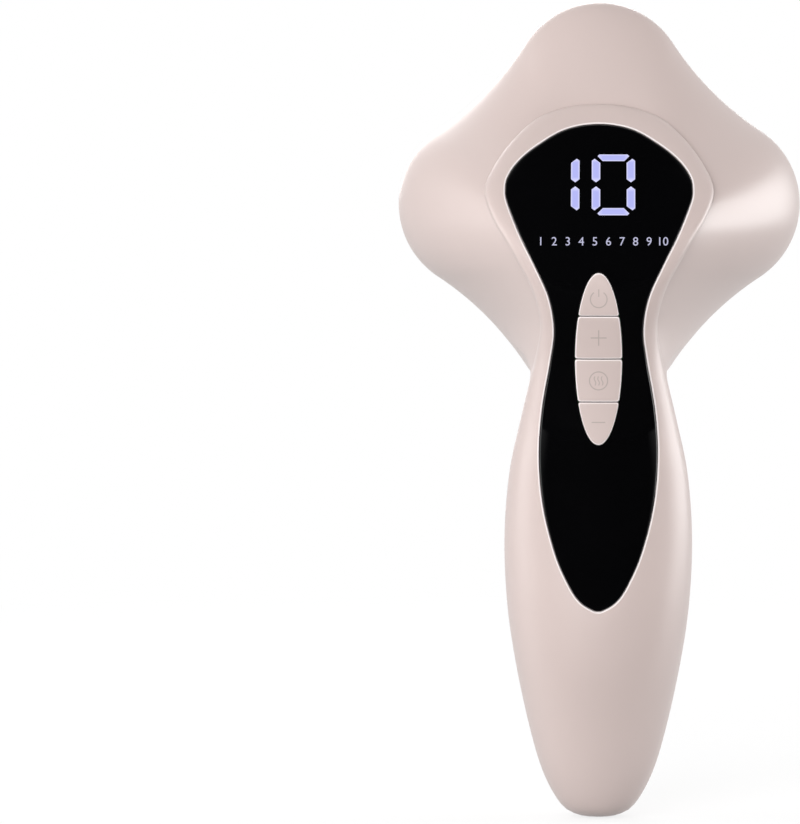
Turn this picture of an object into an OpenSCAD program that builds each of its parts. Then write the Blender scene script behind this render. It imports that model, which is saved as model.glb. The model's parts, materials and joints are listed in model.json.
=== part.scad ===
// Hand-held body massager: a four-lobed treatment head on a spindle-shaped grip.
// X runs across the body, Z up along the grip, and +Y is the side with the electrodes.
// The display side faces -Y. Depths are measured back from the black plate's front face.

/* [Overall] */
// Height of the head's centre above the end of the grip
head_z = 164; // [145:1:200]
// Distance from the electrode faces to the hood's backmost point
body_depth = 72; // [68:0.5:84]

/* [Head] */
// Radius of the four rounded corners of the head
lobe_r = 24; // [20:0.5:28]
// Distance of each corner's centre from the head's centre
lobe_offset = 31; // [28:0.5:37]
// Radius of the hollow flanks between two corners
flank_r = 83; // [60:1:120]
// Share of the dome's depth over which its side runs straight back
dome_fullness = 0.3; // [0.2:0.02:0.4]
// Wall of the three beige mouldings
wall = 2.4; // [1.8:0.1:3]

/* [Hood and grip] */
// Widest point of the display hood
hood_w = 61.4; // [56:0.5:68]
// Top of the hood above the head's centre
hood_rise = 27.5; // [24:0.5:30]
// Depth of the hood's top edge
hood_top_d = 29; // [26:0.5:34]
// Width of the waist under the hood
waist_w = 31.4; // [29:0.5:38]
// Waist below the head's centre
waist_drop = 33; // [30:0.5:38]
// Step from the hood's edge down to the dome
ridge_step = 1.4; // [0.6:0.1:2]
// Joint between head and grip, below the head's centre
neck_drop = 52; // [50:0.5:54]
// Reach of the rounding under the head, above that joint
neck_sweep = 12; // [8:0.5:14]
// Widest point of the grip
grip_w = 50.4; // [44:0.5:60]
// Depth of the grip's middle plane
grip_d = 48; // [44:0.5:52]
// Thickness of the grip at its fullest point
grip_t = 42.2; // [38:0.5:50]

/* [Treatment plate] */
// Thickness of the plate at its edge
plate_edge = 5; // [4:0.5:7]
// Thickness of the plate's face
plate_face = 3; // [2.4:0.1:4]
// Radius of the rounded front edge
plate_round = 1.8; // [1:0.1:2.4]
// Gap between the plate and the head shell
plate_gap = 0.25; // [0.1:0.05:0.4]

/* [Electrodes] */
// Radius of a steel disc
disc_r = 16.4; // [14:0.1:17]
// Distance of the discs from the head's centre
disc_offset = 28.3; // [26:0.1:31]
// Height of the black ring round a disc above the plate
ring_h = 1.6; // [0.8:0.1:2.4]
// Width of that ring
ring_w = 1.3; // [0.8:0.1:1.8]
// Height of the disc above its ring
disc_step = 1; // [0.4:0.1:1.6]
// Gap between a disc and its ring
disc_gap = 0.2; // [0.1:0.05:0.4]
// Radius of the stud behind a disc
stud_r = 1.5; // [1:0.1:2]

/* [Light windows] */
// Length of a light window
lamp_l = 4.1; // [3:0.1:5]
// Width of a light window
lamp_w = 1.6; // [1.2:0.1:2]
// Cut at two corners of a light window
lamp_clip = 0.55; // [0.2:0.05:0.7]

/* [Display and keys] */
// Thickness of the black display panel
panel_t = 1.6; // [1:0.1:2.2]
// Gap between the panel and the housing
panel_gap = 0.15; // [0.1:0.05:0.3]
// Gap between the panel and the floor of its recess
panel_seat = 0.15; // [0.05:0.05:0.3]
// Widest point of the panel in the hood
panel_w = 49.8; // [44:0.5:52]
// Width of the panel at the waist
panel_waist_w = 23.4; // [20:0.5:24.5]
// Widest point of the panel on the grip
panel_low_w = 31.4; // [26:0.5:34]
// Top of the panel above the head's centre
panel_rise = 22.1; // [20:0.5:23]
// Length of the panel
panel_l = 128.6; // [115:1:132]
// Length of the oval that the four keys fill
key_oval_l = 46; // [40:0.5:52]
// Width of that oval
key_oval_w = 12.5; // [11:0.5:14]
// Gap round the keys and between them
key_gap = 0.22; // [0.15:0.01:0.35]
// Height of the keys above the panel
key_proud = 0.35; // [0:0.05:0.8]
// Travel of a key
key_travel = 0.4; // [0.2:0.05:0.6]

/* [Inside] */
// Diameter of the battery cell
cell_dia = 18.4; // [14:0.1:18.6]
// Length of the battery cell
cell_l = 65; // [50:0.5:66]
// Thickness of the circuit boards
board_t = 1.6; // [1:0.1:2]
// Width of the main board
board_w = 22; // [18:0.5:22]
// Length of the main board
board_l = 62; // [60:0.5:63]
// Diameter of the vibration motor
motor_dia = 12; // [8:0.1:14]
// Length of the vibration motor's can
motor_l = 20; // [14:0.5:24]
// Radius of the motor's shaft
shaft_r = 0.75; // [0.5:0.05:1]
// Core radius of the housing screws
screw_r = 1.1; // [0.8:0.1:1.4]

/* [Hidden] */
$fn = 48;

disc_proud = ring_h + disc_step;
plate_y = body_depth / 2 - disc_proud;
back_d = body_depth - disc_proud;

beige = [0.86, 0.80, 0.77];
gloss_black = [0.03, 0.03, 0.035];
steel = [0.88, 0.88, 0.89];
dark_grey = [0.2, 0.2, 0.21];
board_green = [0.08, 0.30, 0.16];
copper = [0.85, 0.55, 0.3];
lit_red = [1, 0.25, 0.2];
lit_white = [0.92, 0.9, 1];
cell_blue = [0.15, 0.3, 0.55];

// Slack between flat neighbours, running slack of a shaft, bare joint between mouldings
fit = 0.05;
run_gap = 0.04;
joint_gap = 0.2;

// A depth behind the plate's face, as a place on Y
function at(d) = plate_y - d;
function mix(a, b, t) = a + (b - a) * t;
function sq(x) = x * x;

// Smooth curve through points, with end points mirrored across X = 0
function bend(a, b, c, d, t) =
    0.5 * (2 * b + (c - a) * t + (2 * a - 5 * b + 4 * c - d) * t * t
    + (3 * b - a - 3 * c + d) * t * t * t);
function flip(p) = [for (i = [0 : len(p) - 1]) i == 0 ? -p[i] : p[i]];
function smooth(p, n) = let (e = len(p) - 1) [
    for (i = [0 : e - 1]) for (k = [0 : n - 1])
        bend(i == 0 ? flip(p[1]) : p[i - 1], p[i], p[i + 1], i == e - 1 ? flip(p[e - 1]) : p[i + 2], k / n),
    p[e]
];

// Running length along a curve, counted on its first three values
function gap3(a, b) = norm([a[0] - b[0], a[1] - b[1], a[2] - b[2]]);
function runs(p, i = 0, sum = 0, out = []) =
    i == len(p) ? out
    : let (s = i == 0 ? 0 : sum + gap3(p[i], p[i - 1])) runs(p, i + 1, s, concat(out, [s]));

// Stations of the spine, the form that is hood above and grip below, from the top down.
// Each holds half width, height, seam depth, crown depth, front bulge and section power.
// At the waist the front face is given by its depth behind the grip's middle plane.
hood_x = hood_w / 2;
waist_x = waist_w / 2;
grip_x = grip_w / 2;
function hood_station(w, rise, seam, crown, front) =
    [w * hood_x, head_z + rise * hood_rise, mix(hood_top_d, back_d, seam),
    mix(hood_top_d, back_d, crown), front, 2.8];
function waist_station(w, drop, seam, crown, face, power) = let (s = mix(hood_top_d, back_d, seam))
    [w * waist_x, head_z - drop * waist_drop, s, mix(hood_top_d, back_d, crown), s - grip_d - face, power];
function grip_station(w, rise, seam, back, front) =
    [w * grip_x, rise * head_z, grip_d + seam, grip_d + back * grip_t / 2,
    front * grip_t / 2 + seam, 2.1];
stations = [
    hood_station(0, 1, 0, 0.04, 0.4),
    hood_station(0.28, 0.97, 0.012, 0.075, 0.4),
    hood_station(0.54, 0.865, 0.075, 0.145, 0.5),
    hood_station(0.745, 0.665, 0.185, 0.285, 0.6),
    hood_station(0.9, 0.44, 0.32, 0.445, 0.8),
    hood_station(1, 0.18, 0.48, 0.64, 1),
    hood_station(0.93, -0.075, 0.665, 0.815, 1.5),
    hood_station(0.812, -0.3, 0.795, 0.93, 2.5),
    hood_station(0.69, -0.53, 0.855, 0.985, 4),
    waist_station(1.14, 0.635, 0.865, 1, 9.4, 2.8),
    waist_station(1.02, 0.83, 0.83, 0.985, 5, 2.7),
    waist_station(1, 1, 0.765, 0.955, 0.4, 2.5),
    waist_station(1.1, 1.255, 0.655, 0.915, -5, 2.3),
    grip_station(0.835, 0.652, 3.2, 0.8, 0.41),
    grip_station(0.95, 0.567, 1.4, 0.83, 0.59),
    grip_station(1, 0.463, 0.4, 0.91, 0.84),
    grip_station(0.972, 0.354, 0, 1, 1),
    grip_station(0.882, 0.256, 0, 0.99, 0.99),
    grip_station(0.74, 0.153, 0, 0.83, 0.85),
    grip_station(0.59, 0.076, 0, 0.66, 0.68),
    grip_station(0.41, 0.024, 0, 0.46, 0.47),
    grip_station(0.24, 0.005, 0, 0.27, 0.27),
    grip_station(0, 0, 0, 0, 0)
];

// The spine by running length, from 0 at the top to 1 at the bottom
spine = smooth(stations, 6);
spine_runs = runs(spine);
spine_len = spine_runs[len(spine) - 1];
function spine_column(c) = [for (i = [0 : len(spine) - 1]) [spine_runs[i] / spine_len, spine[i][c]]];
half_col = spine_column(0);
z_col = spine_column(1);
seam_col = spine_column(2);
crown_col = spine_column(3);
front_col = spine_column(4);
power_col = spine_column(5);
z_to_u = [for (i = [len(spine) - 1 : -1 : 0]) [spine[i][1], spine_runs[i] / spine_len]];
function u_at(z) = lookup(z, z_to_u);
function seam_at(z) = lookup(u_at(z), seam_col);
function half_at(z) = lookup(u_at(z), half_col);
function crown_at(z) = lookup(u_at(z), crown_col);
function front_at(z) = lookup(u_at(z), front_col);

// A place on the spine's outline moved inwards: half width, height, and the height's own values
function outline_at(u) = [lookup(u, half_col), lookup(u, z_col)];
function spine_at(u, inset) = let (
    e = 0.004,
    a = u < e ? flip(outline_at(e - u)) : outline_at(u - e),
    b = u > 1 - e ? flip(outline_at(2 - e - u)) : outline_at(u + e),
    t = (b - a) / norm(b - a),
    z = lookup(u, z_col) - t[0] * inset)
    [max(0.3, lookup(u, half_col) + t[1] * inset), z, lookup(u, seam_col), crown_at(z),
    front_at(z), lookup(u, power_col)];

// Depth of a bulging row at x
function swell(x, half, n) = pow(max(0, 1 - pow(min(1, abs(x) / half), n)), 1 / n);
function skin(x, z) = let (u = u_at(z))
    mix(seam_at(z), crown_at(z), swell(x, half_at(z), lookup(u, power_col)));
// Depth of the rear housing's inner surface at a place
rear_wall = wall + panel_t;
function under_skin(x, z) = let (u = u_at(z))
    mix(seam_at(z), crown_at(z) - rear_wall, swell(x, half_at(z) - wall, lookup(u, power_col)));

// Half width of the panel, from its stations at shares of the way to the waist and to the tip
panel_top = head_z + panel_rise;
panel_tip = panel_top - panel_l;
panel_waist_z = head_z - waist_drop + 1;
function upper(w, t) = [w * panel_w / 2, mix(panel_top, panel_waist_z, t)];
function between(q, t) = [mix(panel_waist_w, panel_w, q) / 2, mix(panel_top, panel_waist_z, t)];
function lower(q, t) = [mix(panel_waist_w, panel_low_w, q) / 2, mix(panel_waist_z, panel_tip, t)];
function tapered(w, t) = [w * panel_low_w / 2, mix(panel_waist_z, panel_tip, t)];
panel_path = smooth([
    upper(0, 0), upper(0.353, 0.026), upper(0.661, 0.106), upper(0.869, 0.183), upper(0.98, 0.26),
    upper(1, 0.319), upper(0.981, 0.376), between(0.703, 0.53), between(0.389, 0.685),
    between(0.108, 0.84), between(0, 1), lower(0.26, 0.114), lower(0.795, 0.286), lower(1, 0.456),
    tapered(0.93, 0.628), tapered(0.727, 0.797), tapered(0.49, 0.91), tapered(0.304, 0.966),
    tapered(0.101, 0.995), tapered(0, 1)
], 6);
panel_table = [for (i = [len(panel_path) - 1 : -1 : 0]) [panel_path[i][1], panel_path[i][0]]];
function panel_half(z) = max(0.25, lookup(z, panel_table));

// Rows down the spine: closely set where the panel's two ends begin
rear_n = 46;
edge_steps = [0.15, 0.45, 1, 1.9, 3.2];
function rows_between(a, b) = let (n = max(1, round((b - a) * rear_n)))
    [for (i = [1 : n]) mix(a, b, (i - 0.5) / n)];
top_rows = [for (s = edge_steps) u_at(panel_top - s)];
tip_rows = [for (i = [len(edge_steps) - 1 : -1 : 0]) u_at(panel_tip + edge_steps[i])];
top_edge = [u_at(panel_top + panel_gap + 0.1), u_at(panel_top + panel_gap)];
tip_edge = [u_at(panel_tip - panel_gap), u_at(panel_tip - panel_gap - 0.1)];
spine_end = 0.003;
panel_rows = concat(top_rows, rows_between(top_rows[4], tip_rows[0]), tip_rows);
rear_rows = concat([spine_end], rows_between(spine_end, top_edge[0]), top_edge, panel_rows,
    tip_edge, rows_between(tip_edge[1], 1 - spine_end), [1 - spine_end]);

// A thick sheet between two equal grids of points, closed at its edges.
// The diagonals of its left and right half mirror each other.
module thick(outer, inner, closed = false) {
    m = len(outer);
    n = len(outer[0]);
    o = m * n;
    cols = closed ? n : n - 1;
    points = concat([for (r = outer) each r], [for (r = inner) each r]);
    faces = concat(
        [for (i = [0 : m - 2]) for (j = [0 : cols - 1])
            let (a = i * n + j, b = i * n + (j + 1) % n)
            each j < cols / 2
            ? [[a, b, b + n], [a, b + n, a + n], [o + a, o + b + n, o + b], [o + a, o + a + n, o + b + n]]
            : [[a, b, a + n], [b, b + n, a + n], [o + a, o + a + n, o + b], [o + b, o + a + n, o + b + n]]],
        [for (i = [0, m - 1]) for (j = [0 : cols - 1])
            let (a = i * n + j, b = i * n + (j + 1) % n)
            each i == 0 ? [[a, o + b, b], [a, o + a, o + b]] : [[a, b, o + b], [a, o + b, o + a]]],
        closed ? [] : [for (i = [0 : m - 2]) for (j = [0, n - 1])
            let (a = i * n + j, b = a + n)
            each j == 0 ? [[a, b, o + b], [a, o + b, o + a]] : [[a, o + b, b], [a, o + a, o + b]]]
    );
    polyhedron(points, faces);
}

// A solid stack of rings with a fan over each end about a middle point
module ring_stack(rings, first, last) {
    n = len(rings[0]);
    m = len(rings);
    points = concat([for (r = rings) each r], [first, last]);
    faces = concat(
        [for (i = [0 : m - 2]) for (j = [0 : n - 1])
            let (a = i * n + j, b = i * n + (j + 1) % n) each [[a, b, b + n], [a, b + n, a + n]]],
        [for (j = [0 : n - 1]) [m * n, (j + 1) % n, j]],
        [for (j = [0 : n - 1]) [m * n + 1, (m - 1) * n + j, (m - 1) * n + (j + 1) % n]]
    );
    polyhedron(points, faces);
}

// Plain bodies placed by depth
module slab(d0, d1) {
    translate([0, at(d0), 0]) rotate([90, 0, 0]) linear_extrude(d1 - d0) children();
}
module post(x, z, d0, d1, r) {
    translate([x, at(d0), z]) rotate([90, 0, 0]) cylinder(h = d1 - d0, r = r);
}
module block(x0, x1, z0, z1, d0, d1) {
    translate([x0, at(d1), z0]) cube([x1 - x0, d1 - d0, z1 - z0]);
}
module across(x0, x1, d, z, r) {
    translate([x0, at(d), z]) rotate([0, 90, 0]) cylinder(h = x1 - x0, r = r);
}

// Outline of the head, as a radius for an angle: four lobes joined by hollow flanks
flank_offset = (lobe_offset + sqrt(2 * sq(lobe_r + flank_r) - sq(lobe_offset))) / 2;
lobe_share = lobe_r / (lobe_r + flank_r);
lobe_angle = atan2(lobe_share * flank_offset, lobe_offset + lobe_share * (flank_offset - lobe_offset));
function head_radius(angle, inset = 0) =
    let (a = abs((angle + 405) % 90 - 45), r = lobe_r - inset, f = flank_r + inset)
    a <= lobe_angle
    ? lobe_offset * cos(a) + sqrt(sq(r) - sq(lobe_offset * sin(a)))
    : flank_offset * (cos(a) + sin(a)) - sqrt(sq(f) - sq(flank_offset * (cos(a) - sin(a))));
function on_head(angle, inset) = let (r = head_radius(angle, inset)) [r * cos(angle), head_z + r * sin(angle)];
round_n = 96;
function head_ring(inset, d) = [for (i = [0 : round_n - 1])
    let (p = on_head(360 * i / round_n, inset)) [p[0], at(d), p[1]]];
module head_area(inset) {
    polygon([for (i = [0 : round_n - 1]) on_head(360 * i / round_n, inset)]);
}

// Dome of the head: rings from the plate's edge to the rim that carries hood and neck
neck_z = head_z - neck_drop;
neck_u = u_at(neck_z);
neck_steps = 7;
side_steps = 14;
dome_steps = 8;
neck_angle = atan2(neck_z - head_z, half_at(neck_z));
rim_d = plate_edge + joint_gap;
neck_span = 82;
function neck_point(a, inset) = let (s = spine_at(neck_u, inset))
    [s[0] * sin(a), at(seam_at(neck_z) - joint_gap - (front_at(neck_z) - inset) * cos(a)), neck_z];
function ridge_inset(z) = ridge_step * max(0, min(1, (z - neck_z) / (neck_drop - waist_drop)));
function ridge_point(u) = let (s = spine_at(u, ridge_inset(lookup(u, z_col))))
    [u <= 0 ? 0 : s[0], at(s[2] - joint_gap), s[1]];
// Each rib of the half dome: angle on the head's outline, place on the rim, reach of the sweep
// that brings it down onto the neck from above, and share of the plain way straight to the rim
function plain_share(k) = let (t = min(1, k / 3)) t * t * (3 - 2 * t);
half_rim = [
    for (k = [0 : neck_steps]) let (t = k / neck_steps)
        [mix(-90, neck_angle - 2, t), neck_point(neck_span * t, 0), neck_sweep * (1 - 0.3 * t * t), 0],
    for (k = [0 : side_steps - 1]) [mix(neck_angle, 0, k / side_steps),
        ridge_point(mix(neck_u, u_at(head_z), k / side_steps)), neck_sweep * 0.85, plain_share(k)],
    for (k = [0 : side_steps]) [mix(0, 90, k / side_steps),
        ridge_point(mix(u_at(head_z), 0, k / side_steps)), 0, 1]
];
// A rib runs straight back for the rim's height, then bends in towards its place on the rim
rim_h = 3.5;
function bezier(a, b, c, d, t) = let (s = 1 - t)
    s * s * s * a + 3 * s * s * t * b + 3 * s * t * t * c + t * t * t * d;
function dome_point(rib, inset, q, t) = let (
    o = on_head(rib[0], inset),
    p = [o[0], at(rim_d + rim_h), o[1]],
    c = [o[0], mix(p[1], q[1], dome_fullness), o[1]])
    t < 0 ? [o[0], at(rim_d), o[1]]
    : bezier(p, mix(p, c, 2 / 3), q + mix([0, 0, rib[2]], (c - q) * 2 / 3, rib[3]), q, t);
rim_n = len(half_rim) - 1;
function outer_dome(k, t) = dome_point(half_rim[k], 0, half_rim[k][1], t);
// The rim's inner edge: a wall's thickness in from the neck's or the ridge's edge
function ridge_normal(k) = let (
    a = half_rim[max(0, k - 1)][1],
    b = k == rim_n ? flip(a) : half_rim[k + 1][1],
    n = cross(outer_dome(k, 1) - outer_dome(k, 0.9), b - a)) n / norm(n);
corner_in = [-wall, 0, 0];
function rim_inner(k) = k <= neck_steps ? neck_point(neck_span * k / neck_steps, wall)
    : half_rim[k][1] + mix(corner_in, wall * ridge_normal(k), min(1, (k - neck_steps - 1) / 3));
dome = [for (i = [-1 : dome_steps]) mirrored([for (k = [0 : rim_n]) outer_dome(k, i / dome_steps)])];
dome_inner = [for (i = [-1 : dome_steps]) mirrored([for (k = [0 : rim_n])
    dome_point(half_rim[k], wall, rim_inner(k), i / dome_steps)])];
function mirrored(row) = let (e = len(row) - 1)
    concat([[0, row[0][1], row[0][2]]], [for (k = [1 : e - 1]) row[k]], [[0, row[e][1], row[e][2]]],
    [for (k = [e - 1 : -1 : 1]) [-row[k][0], row[k][1], row[k][2]]]);

tab_x = 22;
tab_d = seam_at(head_z) - 4.7;
tab_t = 2.4;
module head_shell() {
    color(beige)
    difference() {
        union() {
            thick(dome_inner, dome, true);
            for (s = [-1, 1])
                block(s > 0 ? 19 : -29, s > 0 ? 29 : -19, head_z - 3.5, head_z + 3.5, tab_d - tab_t, tab_d);
        }
        for (s = [-1, 1]) post(s * tab_x, head_z, tab_d - 3, tab_d + 1, screw_r + 0.2);
    }
}

// Rear housing: hood and display half of the grip, with the panel's recess
side_n = 5;
floor_n = 10;
function in_panel(z) = z < panel_top + panel_gap + 0.01 && z > panel_tip - panel_gap - 0.01;
function past_panel(z) = max(z - panel_top, panel_tip - z) - panel_gap;
function recess_half(z, half) = in_panel(z) ? panel_half(z) + panel_gap
    : min(0.4 + 0.7 * past_panel(z), max(0.1, 0.35 * half));
function rear_row(u, inset, drop) = let (
    s = spine_at(u, inset), z0 = lookup(u, z_col), half = s[0], n = s[5],
    edge = min(recess_half(z0, lookup(u, half_col)), 0.9 * half),
    bulge = max(0.15, s[3] - drop - s[2]),
    a = asin(pow(edge / half, n / 2)),
    cut = inset == 0 && in_panel(z0) ? panel_t + panel_seat : 0,
    side = [for (k = [0 : side_n]) let (b = mix(90, a, k / side_n), x = half * pow(sin(b), 2 / n))
        [x, s[2] + bulge * swell(x, half, n)]],
    floor = [for (k = [0 : floor_n]) let (x = edge * (cut > 0 ? 1 : 0.9) * sin(mix(-90, 90, k / floor_n)))
        [x, s[2] + bulge * swell(x, half, n) - cut]])
    [for (p = side) [-p[0], at(p[1]), s[1]],
    for (p = floor) [p[0], at(p[1]), s[1]],
    for (k = [side_n : -1 : 0]) [side[k][0], at(side[k][1]), s[1]]];

key_drop = 16.6;
key_top = head_z - key_drop;
key_mid = key_top - key_oval_l / 2;
function key_half(z, grow) = let (b = key_oval_l / 2 + grow, a = key_oval_w / 2 + grow)
    a * sqrt(max(0, 1 - sq((z - key_mid) / b)));
module key_area(grow) {
    translate([0, key_mid]) polygon([for (i = [0 : 47]) let (a = 360 * i / 48)
        [(key_oval_w / 2 + grow) * cos(a), (key_oval_l / 2 + grow) * sin(a)]]);
}

board_x = board_w / 2;
board_z0 = head_z - 71;
board_top = board_z0 + board_l;
board_d = grip_d + 7.6;
board_posts = [for (x = [-1, 1]) for (z = [board_z0 + 3.2, board_top - 3.2]) [x * (board_x - 2.9), z]];
grip_boss_x = 11.8;
grip_boss_z = board_z0 - 4.8;
boss_r = 2.9;
port_d = grip_d;
port_w = 9;
port_h = 3.3;
module port_area(grow) {
    hull() for (s = [-1, 1]) translate([s * (port_w - port_h) / 2, 0]) circle(r = port_h / 2 + grow, $fn = 32);
}
module port_slot(grow) {
    translate([0, at(port_d), -1]) linear_extrude(12) port_area(grow);
}

show_lo = head_z - 2;
show_hi = head_z + 15;
show_z = (show_lo + show_hi) / 2;
show_tilt = atan2(crown_at(show_lo) - crown_at(show_hi), show_hi - show_lo);
show_l = norm([crown_at(show_lo) - crown_at(show_hi), show_hi - show_lo]);
show_w = 24;
module on_slope() {
    translate([0, at((crown_at(show_lo) + crown_at(show_hi)) / 2), show_z])
        rotate([-show_tilt, 0, 0]) children();
}

module rear_housing() {
    color(beige)
    difference() {
        union() {
            thick([for (u = rear_rows) rear_row(u, 0, 0)], [for (u = rear_rows) rear_row(u, wall, rear_wall)]);
            for (p = board_posts) post(p[0], p[1], board_d + fit, under_skin(p[0], p[1]) + 0.9, 2.4);
            for (s = [-1, 1]) {
                post(s * tab_x, head_z, tab_d + fit, under_skin(tab_x + boss_r, head_z + boss_r) + 0.8, boss_r);
                post(s * grip_boss_x, grip_boss_z, grip_d + 2.2,
                    under_skin(grip_boss_x, grip_boss_z) + 0.9, boss_r);
            }
        }
        slab(board_d, back_d + 2) key_area(1.6);
        on_slope() translate([-show_w / 2 - 0.3, -2, -show_l / 2 - 0.3]) cube([show_w + 0.6, 12, show_l + 0.6]);
        port_slot(0.35);
        for (p = board_posts) post(p[0], p[1], board_d - 1, board_d + 5, screw_r);
        for (s = [-1, 1]) {
            post(s * tab_x, head_z, tab_d - 1, tab_d + 5, screw_r);
            post(s * grip_boss_x, grip_boss_z, grip_d, back_d, screw_r + 0.2);
            post(s * grip_boss_x, grip_boss_z, head_seat, back_d, 2.4);
        }
    }
}

// Grip shell: electrode half of the grip, with a collar that reaches into the head
collar_top = neck_z + 7;
collar_inset = wall + 0.9;
collar_span = 75;
grip_rows_n = 20;
front_n = 18;
function front_row(u, inset, thin, span = 90) = let (s = spine_at(u, inset), bulge = max(0.15, s[4] - thin))
    [for (j = [0 : front_n]) let (a = mix(-span, span, j / front_n))
        [s[0] * sin(a), at(s[2] - joint_gap - bulge * cos(a)), s[1]]];
collar_u = u_at(collar_top);
step_u = u_at(neck_z - joint_gap);
grip_u = [for (i = [0 : grip_rows_n]) mix(step_u, 1 - spine_end, i / grip_rows_n)];
collar_steps = [collar_u, mix(collar_u, step_u, 0.5), step_u - 0.0004];
grip_outer = concat([for (u = collar_steps) front_row(u, collar_inset, collar_inset, collar_span)],
    [for (u = grip_u) front_row(u, 0, 0)]);
collar_in = collar_inset + 1.6;
grip_inner = concat([for (u = collar_steps) front_row(u, collar_in, collar_in, collar_span)],
    [front_row(grip_u[0], collar_in, collar_in, collar_span)],
    [for (i = [1 : grip_rows_n]) front_row(grip_u[i], wall, wall)]);

cell_d = grip_d - 1.6;
cell_z0 = 20;
cell_r = cell_dia / 2;
module rib(z, notch) {
    s = spine_at(u_at(z), wall / 2);
    difference() {
        translate([0, 0, z - 0.8]) linear_extrude(1.6)
            polygon([for (j = [0 : 16]) let (a = mix(-90, 90, j / 16))
                [s[0] * sin(a), at(s[2] - 1.2 - (s[4] - wall / 2 - 1) * cos(a))]]);
        if (notch) translate([0, at(cell_d), z - 2]) cylinder(h = 4, r = cell_r + 0.1);
        else translate([0, at(s[2] - 1), z - 2]) cylinder(h = 4, r = 4);
    }
}
boss_foot = seam_at(grip_boss_z) + 0.3
    - front_at(grip_boss_z) * swell(grip_boss_x + boss_r, half_at(grip_boss_z), 2);
module grip_shell() {
    color(beige)
    difference() {
        union() {
            thick(grip_inner, grip_outer);
            rib(cell_z0 - 1.9, false);
            rib(cell_z0 + 15, true);
            rib(cell_z0 + 48, true);
            for (s = [-1, 1]) post(s * grip_boss_x, grip_boss_z, boss_foot, grip_d + 2, boss_r);
        }
        port_slot(0.35);
        for (s = [-1, 1]) post(s * grip_boss_x, grip_boss_z, boss_foot + 2, grip_d + 3, screw_r);
    }
}

// Treatment plate with its collars, lamp openings and skirt
skirt_in = wall + 0.4;
disc_spots = [for (k = [0 : 3]) [disc_offset * cos(90 * k), head_z + disc_offset * sin(90 * k)]];
plate_post = 14.7;
lamp_ring_r = 20.3;
post_spots = [for (a = [-1, 1]) for (b = [-1, 1]) [a * plate_post, head_z + b * plate_post]];
lamps = concat([[0, head_z, 135]],
    [for (a = [45 : 90 : 315]) for (r = [13.3, 28.3]) [r * cos(a), head_z + r * sin(a), a]],
    [for (k = [0 : 3]) for (b = [-85.2, -21.3, 21.3, 85.2])
        [disc_spots[k][0] + lamp_ring_r * cos(90 * k + b), disc_spots[k][1] + lamp_ring_r * sin(90 * k + b),
        90 * k + b]]);
module lamp_area(lamp, grow, clip) {
    l = lamp_l / 2 + grow;
    w = lamp_w / 2 + grow;
    translate([lamp[0], lamp[1]]) rotate(lamp[2] - 90)
        polygon([[-l, -w], [l, -w], [l, w - clip], [l - clip, w], [-l + clip, w], [-l, w - clip]]);
}
round_steps = [for (a = [0 : 22.5 : 90]) [plate_gap + plate_round * (1 - cos(a)), plate_round * (1 - sin(a))]];
led_board_d = plate_face + 3.2;
module treatment_plate() {
    color(gloss_black)
    difference() {
        union() {
            ring_stack(concat(
                [head_ring(skirt_in + 1.2, plate_face), head_ring(skirt_in + 1.2, plate_edge + 3),
                head_ring(skirt_in, plate_edge + 3), head_ring(skirt_in, plate_edge),
                head_ring(plate_gap, plate_edge)],
                [for (s = round_steps) head_ring(s[0], s[1])]),
                [0, at(plate_face), head_z], [0, at(0), head_z]);
            for (p = disc_spots) post(p[0], p[1], -ring_h, 0.6, disc_r + disc_gap + ring_w);
            for (p = post_spots) post(p[0], p[1], plate_face - 0.5, led_board_d, 2.2);
        }
        for (p = disc_spots) {
            post(p[0], p[1], -ring_h - 1, 0, disc_r + disc_gap);
            post(p[0], p[1], -1, plate_face + 1, stud_r + 0.1);
        }
        for (p = post_spots) post(p[0], p[1], 1.4, led_board_d + 1, screw_r - 0.1);
        slab(-1, plate_face + 1) for (l = lamps) lamp_area(l, 0.07, lamp_clip);
    }
}

// Display panel and the four keys
function panel_row(u, drop) = let (z = lookup(u, z_col), w = panel_half(z))
    [for (k = [0 : floor_n]) let (x = w * sin(mix(-90, 90, k / floor_n))) [x, at(skin(x, z) - drop), z]];
module display_panel() {
    color(gloss_black)
    difference() {
        thick([for (u = panel_rows) panel_row(u, 0)], [for (u = panel_rows) panel_row(u, panel_t)]);
        slab(board_d, back_d + 2) key_area(key_gap);
    }
}

key_step = key_oval_l / 4;
key_rows_n = 7;
function key_floor(i) = min(skin(key_half(key_top - key_step * (i + 1), 0), key_top - key_step * (i + 1)),
    skin(0, key_top - key_step * (i + 1))) - panel_t - 0.5;
flange_t = 1;
module key(i) {
    z0 = key_top - key_step * i - (i == 0 ? 0.1 : key_gap / 2);
    z1 = key_top - key_step * (i + 1) + (i == 3 ? 0.1 : key_gap / 2);
    rows = [for (k = [0 : key_rows_n]) mix(z0, z1, 0.5 - 0.5 * cos(180 * k / key_rows_n))];
    function row(z, d) = let (w = max(0.5, key_half(z, 0)))
        [for (k = [0 : 8]) let (x = w * mix(-1, 1, k / 8)) [x, at(d > 0 ? d : skin(x, z) + key_proud), z]];
    color(beige)
    union() {
        thick([for (z = rows) row(z, 0)], [for (z = rows) row(z, key_floor(i) - flange_t / 2)]);
        slab(key_floor(i) - flange_t, key_floor(i)) intersection() {
            key_area(1);
            translate([-board_x, z1 - (i == 3 ? 1 : 0)])
                square([board_w, z0 - z1 + (i == 0 || i == 3 ? 1 : 0)]);
        }
    }
}
switch_t = 3.5;
switch_floor = board_d + 0.6;
plunger_r = 1.5;
function key_z(i) = key_top - key_step * (i + 0.5);
module plunger(i) {
    color(dark_grey)
    post(0, key_z(i), switch_floor + key_travel + 0.2, key_floor(i) - flange_t - 0.02, plunger_r);
}
module power_key() key(0);
module plus_key() key(1);
module heat_key() key(2);
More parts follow.
